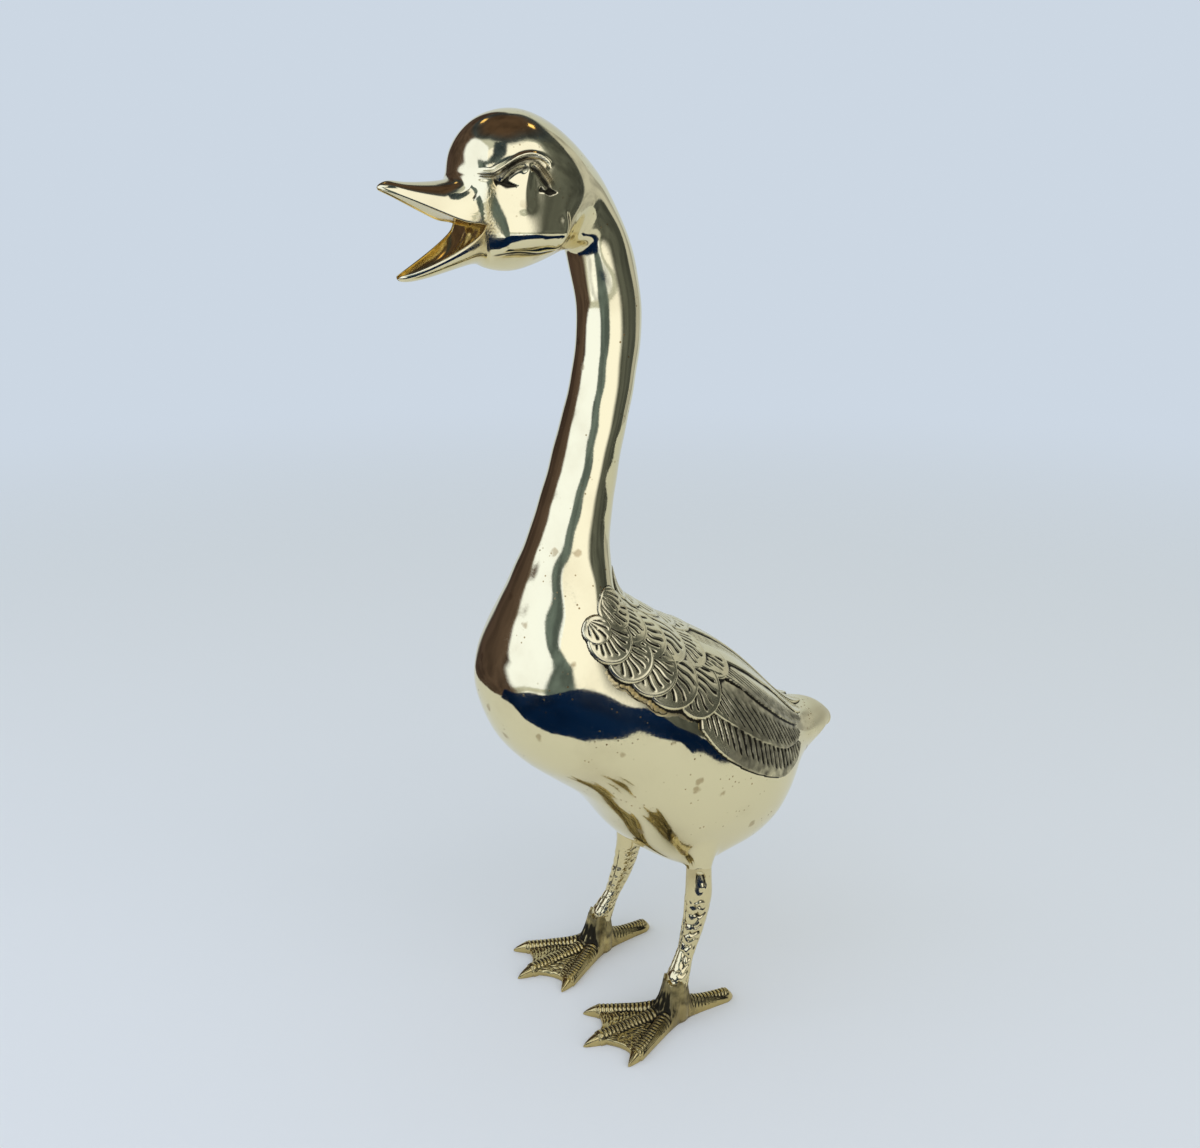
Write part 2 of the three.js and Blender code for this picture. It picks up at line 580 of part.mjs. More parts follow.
// Foot: toes that taper to claws, the web between them, and a collar bored for the spigot of the leg
function foot() {
  const ankle = new THREE.Vector3(ANKLE_X, ANKLE_Y, 0);
  const toeWay = (name) => {
    const turn = THREE.MathUtils.degToRad(TOE_TURN[name]);
    return new THREE.Vector3(Math.sin(turn), -Math.cos(turn), 0);
  };
  const toePoint = (name, share) => ankle.clone().addScaledVector(toeWay(name), TOE_LENGTHS[name] * share);
  const toe = (name, rootRadius) => {
    const across = toeWay(name).applyAxisAngle(new THREE.Vector3(0, 0, 1), Math.PI / 2);
    const rings = [0, 0.3, 0.55, 0.8, 0.92, 1].map((share) => {
      const radius = THREE.MathUtils.lerp(rootRadius, CLAW_RADIUS, share ** 2);
      const centre = toePoint(name, share);
      centre.z = radius * (1 - TOE_SINK);
      return Array.from({ length: ROUND_SIDES }, (_, side) => {
        const angle = (2 * Math.PI * side) / ROUND_SIDES;
        const point = centre.clone().addScaledVector(across, radius * Math.sin(angle));
        point.z += radius * Math.cos(angle);
        return point;
      });
    });
    return solid(loft(rings));
  };
  const webEdge = new THREE.Shape();
  webEdge.moveTo(ankle.x, ankle.y);
  const corner = (name) => toePoint(name, WEB_REACH);
  const dipBetween = (a, b) => {
    const middle = corner(a).add(corner(b)).multiplyScalar(0.5);
    return middle.add(ankle.clone().sub(middle).setLength(WEB_DIP));
  };
  webEdge.lineTo(corner('outer').x, corner('outer').y);
  for (const [from, to] of [['outer', 'middle'], ['middle', 'inner']]) {
    const dip = dipBetween(from, to);
    webEdge.quadraticCurveTo(dip.x, dip.y, corner(to).x, corner(to).y);
  }
  webEdge.closePath();
  const web = solid(new THREE.ExtrudeGeometry(webEdge, {
    depth: WEB_THICKNESS, bevelEnabled: false, curveSegments: 8,
  }));
  const collar = turned([
    [0, 0],
    [ANKLE_RADIUS + COLLAR_SPREAD, 0],
    [ANKLE_RADIUS + COLLAR_SPREAD / 2, ANKLE_Z / 2],
    [ANKLE_RADIUS, ANKLE_Z],
    [0, ANKLE_Z],
  ], ANKLE_X, ANKLE_Y);
  const bore = bar(
    new THREE.Vector3(ANKLE_X, ANKLE_Y, ANKLE_Z - SPIGOT_LENGTH - BRAZE_GAP),
    new THREE.Vector3(ANKLE_X, ANKLE_Y, ANKLE_Z + BURIED),
    SPIGOT_RADIUS + BRAZE_GAP,
  );
  return ['inner', 'middle', 'outer']
    .reduce((joined, name) => joined.add(toe(name, TOE_RADIUS)), web)
    .add(toe('hind', HIND_TOE_RADIUS))
    .add(collar)
    .subtract(bore)
    .intersect(aboveGround);
}

// Assembly: the left pieces, their mirror images, and the pieces on the middle plane
const goose = new THREE.Group();
goose.name = 'brass_goose';

function addPiece(name, shape, material) {
  const mesh = new THREE.Mesh(geometryOf(shape), material);
  mesh.name = name;
  goose.add(mesh);
  return mesh;
}

function addPair(leftName, rightName, shape, material) {
  addPiece(leftName, shape, material);
  addPiece(rightName, shape, material).scale.x = -1;
}

addPair('body_left_shell', 'body_right_shell', bodyShell, polishedBrass);
addPair('left_wing', 'right_wing', wing(), chasedBrass);
addPair('neck_left_shell', 'neck_right_shell', neckShell, polishedBrass);
addPiece('neck_root_sleeve', sleeve(NECK_SEAM), rawBrass);
addPair('head_left_shell', 'head_right_shell', headShell, polishedBrass);
addPiece('nape_sleeve', sleeve(HEAD_SEAM), rawBrass);
addPiece('upper_bill', billBlade(UPPER_BILL, -1), polishedBrass);
addPiece('lower_bill', billBlade(LOWER_BILL, 1), polishedBrass);
addPair('left_leg', 'right_leg', leg(), chasedBrass);
addPair('left_hip_pin', 'right_hip_pin', hipPin, rawBrass);
addPair('left_foot', 'right_foot', foot(), antiqueBrass);

// The origin lies under the middle of the goose, on the ground
const box = new THREE.Box3().setFromObject(goose);
goose.position.y = -(box.min.y + box.max.y) / 2;

export default goose;
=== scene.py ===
import math

import bmesh
import bpy
import numpy as np
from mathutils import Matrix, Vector


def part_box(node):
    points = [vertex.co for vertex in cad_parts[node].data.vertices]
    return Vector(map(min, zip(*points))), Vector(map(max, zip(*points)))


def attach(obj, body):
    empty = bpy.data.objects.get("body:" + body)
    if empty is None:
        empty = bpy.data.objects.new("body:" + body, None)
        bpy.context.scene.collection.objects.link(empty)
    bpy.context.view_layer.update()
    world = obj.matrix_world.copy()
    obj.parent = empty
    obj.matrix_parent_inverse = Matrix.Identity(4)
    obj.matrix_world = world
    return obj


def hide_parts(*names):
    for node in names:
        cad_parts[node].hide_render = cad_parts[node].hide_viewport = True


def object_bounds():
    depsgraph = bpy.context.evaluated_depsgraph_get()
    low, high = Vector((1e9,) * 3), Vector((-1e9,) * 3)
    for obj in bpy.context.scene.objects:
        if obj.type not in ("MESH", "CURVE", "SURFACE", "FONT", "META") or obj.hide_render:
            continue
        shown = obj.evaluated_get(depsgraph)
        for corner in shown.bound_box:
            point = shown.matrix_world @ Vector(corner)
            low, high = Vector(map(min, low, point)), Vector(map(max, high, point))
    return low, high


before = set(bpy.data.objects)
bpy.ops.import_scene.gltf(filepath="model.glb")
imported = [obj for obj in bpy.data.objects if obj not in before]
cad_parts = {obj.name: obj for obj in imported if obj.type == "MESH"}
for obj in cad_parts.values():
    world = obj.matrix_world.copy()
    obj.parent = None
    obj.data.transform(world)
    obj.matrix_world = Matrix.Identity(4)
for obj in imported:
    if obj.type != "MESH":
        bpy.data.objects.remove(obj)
cad_low, cad_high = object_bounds()

# Body: two hollow sand-cast brass halves, brazed along the back, breast and belly, then filed and buffed
# to a mirror. Each half swells into a thigh that runs down into a smooth round stump for its leg.
LENGTH = cad_high.y - cad_low.y
HEIGHT = cad_high.z
WIDTH = 0.25 * HEIGHT

# Sections from the tail to the face: back line and breast line as shares of the length and the height,
# and half the width as a share of the width
SECTIONS = np.array([
    (0.492, 0.296, 0.480, 0.275, 0.053),
    (0.441, 0.316, 0.431, 0.267, 0.137),
    (0.352, 0.333, 0.350, 0.244, 0.236),
    (0.251, 0.383, 0.277, 0.190, 0.372),
    (0.141, 0.436, 0.165, 0.166, 0.470),
    (0.045, 0.465, -0.013, 0.191, 0.502),
    (-0.017, 0.488, -0.131, 0.267, 0.495),
    (-0.058, 0.504, -0.260, 0.329, 0.440),
    (-0.087, 0.528, -0.337, 0.409, 0.366),
    (-0.090, 0.562, -0.303, 0.487, 0.266),
    (-0.081, 0.607, -0.236, 0.571, 0.187),
    (-0.051, 0.690, -0.176, 0.669, 0.165),
    (-0.016, 0.777, -0.133, 0.776, 0.135),
    (-0.029, 0.857, -0.146, 0.851, 0.136),
    (-0.077, 0.918, -0.166, 0.869, 0.140),
    (-0.151, 0.968, -0.219, 0.859, 0.206),
    (-0.256, 1.000, -0.273, 0.850, 0.222),
    (-0.347, 0.981, -0.320, 0.855, 0.185),
    (-0.374, 0.945, -0.341, 0.863, 0.108),
])
NECK_SEAM = 9.5
HEAD_SEAM = 14.0
TAIL_ROUNDING = 0.005

THIGH_X = 0.25 * WIDTH
THIGH_Z = 0.196 * HEIGHT
THIGH_DROP = 0.008
THIGH_SPREAD = (0.013, 0.018, 0.030)
hip_axis = sum(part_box("left_hip_pin"), Vector()) / 2
STUMP_END_Z = 0.0985
STUMP_RADIUS = 0.0080
STUMP_FLARE = 0.0145
STUMP_CORE = 0.25
BELLY_TOP = 0.3 * HEIGHT

BUFF_WAVE = 0.0075
BUFF_DEPTH = 0.00013


def smooth_line(values):
    """A line through evenly spaced values that bends evenly, as a function of the place along it."""
    values = np.asarray(values, float)
    last = len(values) - 1
    system = 4 * np.eye(last + 1) + np.eye(last + 1, k=1) + np.eye(last + 1, k=-1)
    system[0, 0] = system[last, last] = 2
    pull = np.empty_like(values)
    pull[1:-1] = 3 * (values[2:] - values[:-2])
    pull[0] = 3 * (values[1] - values[0])
    pull[-1] = 3 * (values[-1] - values[-2])
    slope = np.linalg.solve(system, pull)

    def at(place):
        place = np.clip(np.asarray(place, float), 0, last)
        low = np.minimum(place.astype(int), last - 1)
        part = place - low
        if values.ndim > 1:
            part = part[..., None]
        rest = 1 - part
        start = values[low] * (1 + 2 * part) + slope[low] * part
        end = values[low + 1] * (3 - 2 * part) - slope[low + 1] * rest
        return start * rest ** 2 + end * part ** 2

    return at


def ramp(value, low, high):
    """A soft step from 0 at low to 1 at high."""
    share = np.clip((value - low) / (high - low), 0, 1)
    return share * share * (3 - 2 * share)


back_line = smooth_line(SECTIONS[:, 0:2] * (LENGTH, HEIGHT))
breast_line = smooth_line(SECTIONS[:, 2:4] * (LENGTH, HEIGHT))
half_line = smooth_line(SECTIONS[:, 4] * WIDTH)
THROAT_PLACE, THROAT_SPREAD, THROAT_DEPTH = 14.5, 0.36, 0.026 * WIDTH
THROAT_WRAP = (-0.85, 0.45)
CHEEK_ROLL = (0.45, 0.92)


def skin(place, angle, fullness=0.0, slim=1.0):
    """Points of the smooth skin: angle 0 is the back line and pi the breast line, on the left side. With
    fullness 1 its lower side stands upright and then turns under in a short roll, and slim draws in the
    throat behind the jaw."""
    back, breast = back_line(place), breast_line(place)
    middle, arm = (back + breast) / 2, (back - breast) / 2
    rise, across = np.cos(angle), np.sin(angle)
    upright = np.where(rise < 0, np.sign(across) - across, 0) * (1 - ramp(-rise, *CHEEK_ROLL))
    throat = slim * THROAT_DEPTH * np.exp(-((place - THROAT_PLACE) / THROAT_SPREAD) ** 2)
    x = half_line(place) * (across + fullness * upright) - throat * ramp(-rise, *THROAT_WRAP) * across
    y = middle[..., 0] + arm[..., 0] * rise
    z = middle[..., 1] + arm[..., 1] * rise
    below = ((y - hip_axis.y) / THIGH_SPREAD[1]) ** 2 + ((z - THIGH_Z) / THIGH_SPREAD[2]) ** 2
    thighs = sum(np.exp(-(((x - at) / THIGH_SPREAD[0]) ** 2 + below) / 2) for at in (THIGH_X, -THIGH_X))
    return np.stack([x, y, z - THIGH_DROP * thighs], -1)


def widened(values):
    """Evenly spaced values with a spare one at each end, so that a grid has its neighbours' slopes."""
    return np.concatenate([[2 * values[0] - values[1]], values, [2 * values[-1] - values[-2]]])


def outward(grid):
    """Unit normals of a grid of points, rows running forward and columns from back to breast."""
    normal = np.cross(np.gradient(grid, axis=0), np.gradient(grid, axis=1))
    return normal / np.maximum(np.linalg.norm(normal, axis=-1, keepdims=True), 1e-12)


def buffed(grid):
    """The grid with the low waves that files and buffing wheels leave, the same on both sides of a seam."""
    x, y, z = np.moveaxis(grid, -1, 0) / BUFF_WAVE
    wave = np.sin(z + 1.3 * np.sin(0.7 * y)) + np.sin(0.8 * y - 0.6 * z + 2 * np.cos(0.5 * x))
    wave += 0.6 * np.sin(1.7 * z + 0.9 * y + 1.4 * np.cos(1.1 * x))
    return grid + outward(grid) * (BUFF_DEPTH * wave)[..., None]


def mark_points(mesh, marks):
    """Keeps a value at each point of a mesh under each label, for its material."""
    for label, values in marks.items():
        layer = mesh.attributes.new(label, "FLOAT", "POINT")
        layer.data.foreach_set("value", np.asarray(values, np.float32).reshape(-1))


def piece_from(name, points, faces, smooth, materials, normals=None, face_material=None, **attributes):
    """A closed mesh object; smooth says for each face if it is a polished skin, and the attributes are
    the values that its points keep."""
    mesh = bpy.data.meshes.new(name)
    mesh.from_pydata(points, [], faces)
    turned = bmesh.new()
    turned.from_mesh(mesh)
    bmesh.ops.recalc_face_normals(turned, faces=turned.faces)
    turned.to_mesh(mesh)
    turned.free()
    mesh.polygons.foreach_set("use_smooth", smooth)
    for material in materials:
        mesh.materials.append(material)
    if face_material is not None:
        mesh.polygons.foreach_set("material_index", face_material)
    mark_points(mesh, attributes)
    if normals is not None:
        corners = np.empty(len(mesh.loops), np.int32)
        mesh.loops.foreach_get("vertex_index", corners)
        on_skin = np.repeat(smooth, [len(face) for face in faces])
        mesh.normals_split_custom_set(np.where(on_skin[:, None], normals[corners], 0.0))
    piece = bpy.data.objects.new(name, mesh)
    bpy.context.scene.collection.objects.link(piece)
    return piece


def grid_faces(rows, columns, first=0):
    """Four-sided faces over a grid of points that starts at the given index."""
    corner = first + np.arange(rows - 1)[:, None] * columns + np.arange(columns - 1)
    return np.stack([corner, corner + columns, corner + columns + 1, corner + 1], -1).reshape(-1, 4).tolist()


MIRROR = np.array([-1, 1, 1])
SIDES = (("left", False), ("right", True))


def half_casting(name, wide, material, right=False, throat=None, **attributes):
    """A closed half of a casting: its skin, a flat wall on the middle plane and its ends. The spare rows
    and columns of the grid give the skin the same slope as its neighbours have."""
    grid = wide[1:-1, 1:-1].copy()
    normals = outward(wide)[1:-1, 1:-1].copy()
    grid[:, [0, -1], 0] = 0
    normals[:, [0, -1], 0] = 0
    rows, columns = grid.shape[:2]
    points = grid.reshape(-1, 3)
    faces = grid_faces(rows, columns)
    skin_count = len(faces)
    edge = np.arange(rows) * columns
    for low, high in zip(edge[:-1].tolist(), edge[1:].tolist()):
        faces.append([low, low + columns - 1, high + columns - 1, high])
    faces.append(list(range(columns)))
    last = list(range(edge[-1], edge[-1] + columns))
    if throat is None:
        faces.append(last)
    else:
        faces += [[one, other, len(points)] for one, other in zip(last, last[1:] + last[:1])]
        points = np.concatenate([points, [throat]])
    spare = len(points) - rows * columns
    normals = np.concatenate([normals.reshape(-1, 3), np.zeros((spare, 3))])
    values = {label: np.append(value.reshape(-1), np.zeros(spare)) for label, value in attributes.items()}
    if right:
        points, normals = points * MIRROR, normals * MIRROR
    smooth = np.arange(len(faces)) < skin_count
    return piece_from(name, points, faces, smooth, [material], normals, **values)


def thigh_into_stump(grid):
    """The belly grid drawn down round the hip axis into the stump that the leg is brazed to."""
    offset = grid[..., :2] - (hip_axis.x, hip_axis.y)
    reach = np.linalg.norm(offset, axis=-1)
    share = reach / STUMP_FLARE
    drawn = (share < 1) & (grid[..., 2] < BELLY_TOP)
    turn = np.clip((1 - share) / (1 - STUMP_CORE), 0, 1) * math.pi / 2
    radius = STUMP_RADIUS + (STUMP_FLARE - STUMP_RADIUS) * (1 - np.sin(turn))
    radius = np.where(share < STUMP_CORE, STUMP_RADIUS * share / STUMP_CORE, radius)
    moved = grid.copy()
    moved[..., :2] = (hip_axis.x, hip_axis.y) + offset * (radius / np.maximum(reach, 1e-9))[..., None]
    moved[..., 2] = grid[..., 2] * np.cos(turn) + STUMP_END_Z * (1 - np.cos(turn))
    return np.where(drawn[..., None], moved, grid)


# Finish of the brass: tarnish clouds and spots it, and dark patina stays in its recesses. The same dark also
# paints shade: under the wing's edges and steps, in the eye slits, along the jaw crease and on the foot
# sides.
def add_node(tree, kind, inputs=None, **settings):
    """A node with its settings and inputs: a socket is linked and a plain value is set."""
    node = tree.nodes.new(kind)
    for key, value in settings.items():
        setattr(node, key, value)
    for key, value in (inputs or {}).items():
        if isinstance(value, bpy.types.NodeSocket):
            tree.links.new(value, node.inputs[key])
        else:
            node.inputs[key].default_value = value
    return node


def new_group(name, inputs, outputs):
    """An empty shader group with named sockets, its input node and a function that sets an output."""
    group = bpy.data.node_groups.new(name, "ShaderNodeTree")
    for label, kind in inputs:
        group.interface.new_socket(label, in_out="INPUT", socket_type=kind)
    for label, kind in outputs:
        group.interface.new_socket(label, in_out="OUTPUT", socket_type=kind)
    source = group.nodes.new("NodeGroupInput")
    drain = group.nodes.new("NodeGroupOutput")
    return group, source.outputs, lambda label, socket: group.links.new(socket, drain.inputs[label])


COLOR, FLOAT = "NodeSocketColor", "NodeSocketFloat"


def mixed(tree, share, first, second):
    """A colour between two others."""
    return add_node(tree, "ShaderNodeMix", {0: share, 6: first, 7: second}, data_type="RGBA").outputs[2]


def maths(tree, operation, first, second=0.0, third=0.0):
    """One sum on two or three values."""
    values = {0: first, 1: second, 2: third}
    return add_node(tree, "ShaderNodeMath", values, operation=operation).outputs[0]


def stretched(tree, value, low, high, to_low=0.0, to_high=1.0):
    """A value spread smoothly from one range to another."""
    node = add_node(
        tree, "ShaderNodeMapRange",
        {"Value": value, "From Min": low, "From Max": high, "To Min": to_low, "To Max": to_high},
        interpolation_type="SMOOTHSTEP",
    )
    return node.outputs[0]


def object_place(tree):
    """Where a point lies on its object."""
    return add_node(tree, "ShaderNodeTexCoord").outputs["Object"]


def noise(tree, place, scale, detail=2.0, output="Fac"):
    """Cloudy values, or colours, over an object."""
    inputs = {"Vector": place, "Scale": scale, "Detail": detail}
    return add_node(tree, "ShaderNodeTexNoise", inputs).outputs[output]


def dots(tree, place, scale):
    """How far a point lies from the nearest of many scattered dots."""
    return add_node(tree, "ShaderNodeTexVoronoi", {"Vector": place, "Scale": scale}).outputs["Distance"]


def mark(tree, label):
    """A value that the points of the mesh keep."""
    return add_node(tree, "ShaderNodeAttribute", attribute_name=label).outputs["Fac"]


# How many clouds, specks, patches of pits, pits, stains and strays of a stain's rim lie on a metre of brass
CLOUDS, SPECKS, PATCHES, PITS, STAINS, STRAYS = 26.0, 620.0, 38.0, 230.0, 46.0, 160.0
STAIN_STRAY = (0.006, 0.006, 0.006)
STAIN_SHARE = 0.55
SPECK_ROUGHNESS, DULL_ROUGHNESS = 0.05, 0.28
SPECK_RELIEF, SPECK_DEPTH = 0.04, 0.0003
tarnish, given, give = new_group(
    "brass_tarnish",
    [("Clean", COLOR), ("Tarnished", COLOR), ("Clouding", FLOAT), ("Spotting", FLOAT), ("Polish", FLOAT)],
    [("Color", COLOR), ("Roughness", FLOAT), ("Height", FLOAT)],
)
place = object_place(tarnish)
cloud = noise(tarnish, place, CLOUDS, 5.0)
speck = noise(tarnish, place, SPECKS, 3.0)
patch = noise(tarnish, place, PATCHES)
pit = dots(tarnish, place, PITS)
bent = noise(tarnish, place, STRAYS, output="Color")
stray = {0: bent, 1: STAIN_STRAY, 2: place}
strayed = add_node(tarnish, "ShaderNodeVectorMath", stray, operation="MULTIPLY_ADD").outputs["Vector"]
stain = dots(tarnish, strayed, STAINS)
clouded = maths(tarnish, "MULTIPLY", stretched(tarnish, cloud, 0.46, 0.74), given["Clouding"])
patched = stretched(tarnish, patch, 0.5, 0.62)
pitted = maths(tarnish, "MULTIPLY", stretched(tarnish, pit, 0.19, 0.07), patched)
stained = maths(tarnish, "MULTIPLY", stretched(tarnish, stain, 0.16, 0.08), STAIN_SHARE)
spotted = maths(tarnish, "MULTIPLY", maths(tarnish, "MAXIMUM", pitted, stained), given["Spotting"])
dulled = maths(tarnish, "MAXIMUM", clouded, spotted)
specked = stretched(tarnish, speck, 0.4, 0.75)
grainy = maths(tarnish, "MULTIPLY_ADD", specked, SPECK_ROUGHNESS, given["Polish"])
give("Color", mixed(tarnish, dulled, given["Clean"], given["Tarnished"]))
give("Roughness", maths(tarnish, "MULTIPLY_ADD", dulled, DULL_ROUGHNESS, grainy))
give("Height", maths(tarnish, "MULTIPLY", speck, SPECK_RELIEF))

RAGS, PATINA_AND_SHADE_ROUGHNESS = 190.0, 0.38
patina_and_shade, given, give = new_group(
    "patina_and_painted_shade",
    [("Surface", COLOR), ("Patina and shade", COLOR), ("Recess", FLOAT), ("Polish", FLOAT)],
    [("Color", COLOR), ("Roughness", FLOAT)],
)
ragged = noise(patina_and_shade, object_place(patina_and_shade), RAGS, 4.0)
held = maths(patina_and_shade, "MULTIPLY", given["Recess"], maths(patina_and_shade, "MULTIPLY_ADD", ragged, 1.4, 0.3))
dark = stretched(patina_and_shade, held, 0.12, 0.75)
give("Color", mixed(patina_and_shade, dark, given["Surface"], given["Patina and shade"]))
give("Roughness", maths(patina_and_shade, "MULTIPLY_ADD", dark, PATINA_AND_SHADE_ROUGHNESS, given["Polish"]))

# Golden, unpolished brass where files and buffing wheels don't reach
GRAINS, RAW_ROUGHNESS = 900.0, 0.27
unpolished, given, give = new_group(
    "raw_casting",
    [("Surface", COLOR), ("Raw", COLOR), ("Rawness", FLOAT), ("Polish", FLOAT)],
    [("Color", COLOR), ("Roughness", FLOAT)],
)
grain = noise(unpolished, object_place(unpolished), GRAINS, 3.0)
shown = maths(unpolished, "MULTIPLY", given["Rawness"], stretched(unpolished, grain, 0.25, 0.6, 0.5, 1.0))
give("Color", mixed(unpolished, shown, given["Surface"], given["Raw"]))
give("Roughness", maths(unpolished, "MULTIPLY_ADD", shown, RAW_ROUGHNESS, given["Polish"]))

PALE_BRASS = (0.85, 0.745, 0.44, 1)
BROWN_TARNISH = (0.33, 0.205, 0.07, 1)
# Dark patina for hollows, also used as painted shade
DARK_PATINA_AND_SHADE = (0.035, 0.03, 0.018, 1)
GOLDEN_RAW = (0.66, 0.47, 0.16, 1)
UNBUFFED_ROUGHNESS = 0.4


def brass(name, clean, tarnished, clouding, spotting, polish, recess=False, raw=False, dull=False):
    """A brass finish: metal with tarnish, and with patina and painted shade, raw and dull metal where the
    mesh has them.
    """
    material = bpy.data.materials.new(name)
    material.use_nodes = True
    tree = material.node_tree
    shader = tree.nodes["Principled BSDF"]
    shader.inputs["Metallic"].default_value = 1.0
    inputs = {"Clean": clean, "Tarnished": tarnished, "Clouding": clouding,
              "Spotting": spotting, "Polish": polish}
    aged = add_node(tree, "ShaderNodeGroup", inputs, node_tree=tarnish)
    color, rough = aged.outputs["Color"], aged.outputs["Roughness"]
    if raw:
        inputs = {"Surface": color, "Raw": GOLDEN_RAW, "Rawness": mark(tree, "raw"), "Polish": rough}
        rough_cast = add_node(tree, "ShaderNodeGroup", inputs, node_tree=unpolished)
        color, rough = rough_cast.outputs["Color"], rough_cast.outputs["Roughness"]
    if dull:
        rough = maths(tree, "MULTIPLY_ADD", mark(tree, "dull"), UNBUFFED_ROUGHNESS, rough)
    if recess:
        inputs = {"Surface": color, "Patina and shade": DARK_PATINA_AND_SHADE, "Recess": mark(tree, "recess"), "Polish": rough}
        filled = add_node(tree, "ShaderNodeGroup", inputs, node_tree=patina_and_shade)
        color, rough = filled.outputs["Color"], filled.outputs["Roughness"]
    tree.links.new(color, shader.inputs["Base Color"])
    tree.links.new(rough, shader.inputs["Roughness"])
    bump = add_node(tree, "ShaderNodeBump", {"Height": aged.outputs["Height"], "Distance": SPECK_DEPTH})
    tree.links.new(bump.outputs["Normal"], shader.inputs["Normal"])
    return material


polished_brass = brass(
    "polished_brass", PALE_BRASS, BROWN_TARNISH, clouding=0.16, spotting=1.0, polish=0.05, dull=True)


def fit(piece, node):
    """Sets a piece on the goose in place of its plain solid."""
    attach(piece, "root")
    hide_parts(node)


BODY_ROWS, BODY_COLUMNS, TAIL_ROWS = 400, 170, 14
TAIL_CLOSED = math.pi / 2 - 0.02
TAIL_UNBUFFED = (0.9, 2.1)
row_step = NECK_SEAM / (BODY_ROWS - 1)
places, angles = np.meshgrid(
    np.linspace(0, NECK_SEAM + row_step, BODY_ROWS + 1),
    widened(np.linspace(0, math.pi, BODY_COLUMNS)), indexing="ij")
body = skin(places, angles)
tail_turn = np.linspace(TAIL_CLOSED, 0, TAIL_ROWS, endpoint=False)[:, None, None]
tail_middle = np.array([0, *(back_line(0) + breast_line(0)) / 2])
tailward = np.array([0, *(back_line(0) - back_line(0.1))])
tailward *= TAIL_ROUNDING / np.linalg.norm(tailward)
tail_end = tail_middle + (body[0] - tail_middle) * np.cos(tail_turn) + tailward * np.sin(tail_turn)
body = np.concatenate([2 * tail_end[:1] - tail_end[1:2], tail_end, body])
body = thigh_into_stump(buffed(body))
tail_dullness = 1 - ramp(places[:-1, 1:-1], *TAIL_UNBUFFED)
tail_dullness = np.concatenate([np.ones((TAIL_ROWS, BODY_COLUMNS)), tail_dullness])
for side, right in SIDES:
    half = half_casting(f"body_{side}", body, polished_brass, right, dull=tail_dullness)
    fit(half, f"body_{side}_shell")

# Wings: chased brass castings bedded on the flanks and the back. Rows of round scales overlap towards the
# rear, then come the long flight feathers; dark patina is left in every cut, and shade is painted dark at
# the foot of every raised edge and along the wing's border.
WING_PLACES = (9.15, 1.5)
WING_ROWS, WING_COLUMNS = 561, 209
WING_LOWER_EDGE = ((1.5, 60), (2.3, 80), (2.6, 92), (3.0, 99), (3.5, 100), (4.1, 96), (4.7, 89), (5.2, 84),
                   (5.7, 86), (6.2, 88), (6.8, 88), (7.5, 92), (8.0, 98), (8.6, 108), (9.2, 108))
UNDER_SKIN = -0.0008
# Rows of scales: the lean of their rims in degrees, how far behind its middle the cuts of a scale fan out in
# radii, the step of the cuts in degrees, and for each scale its place, degrees from the back line and radius
SCALE_ROWS = (
    (55, 0.9, 11, ((8.32, 78, 0.0090), (7.90, 68, 0.0152), (7.31, 63, 0.0167), (6.7, 60, 0.0183),
                   (6.1, 56, 0.0226), (5.32, 52, 0.0228))),
    (35, 1.5, 7.5, ((8.42, 55.5, 0.0085), (8.15, 53, 0.0130), (7.55, 45, 0.0157), (7.04, 43, 0.0192),
                    (6.27, 34, 0.0230), (5.23, 31, 0.0178), (4.58, 35, 0.0142))),
    (20, 1.5, 8, ((8.05, 22, 0.0115), (7.4, 12, 0.0155), (6.5, 8, 0.0190), (5.7, 5, 0.0220),
                  (5.1, 5, 0.0190))),
)
SCALE_HEIGHT, SCALE_TILT, SCALE_CROWN, SCALE_BEVEL = 0.0015, 0.0009, 0.0005, 0.0012
SCALE_BEVEL_WIDTH, FULL_SCALE = 0.0013, 0.016
RIM_BEAD, RIM_BEAD_INSET, RIM_BEAD_SPREAD = 0.00025, 0.0017, 0.0006
CUT_DEPTH, CUT_FADE, CUT_RIM, CUT_RIM_PLAY = 0.0007, 0.001, 0.0036, 0.0024
CUT_STARTS, CUT_START_PLAY = (0.85, 1.1), 0.3
FAN_SWAY, FAN_SWAY_LENGTH = 0.02, 0.0022
BRAZE_MARGIN, BRAZE_LOW, BRAZE_GRAIN = 0.0075, 0.0012, 0.0005
RAW_SEEN = 0.02
LINE_HEIGHT, EDGE_SHADOW = 0.00015, 0.9
PATINA_AND_SHADE_DEPTH, PATINA_AND_SHADE_WINDOW = 0.00042, 6
DARK_FEATHERS, DARK_DEGREES, DARK_PLACES = 0.44, (38, 52), (4.4, 5.0)
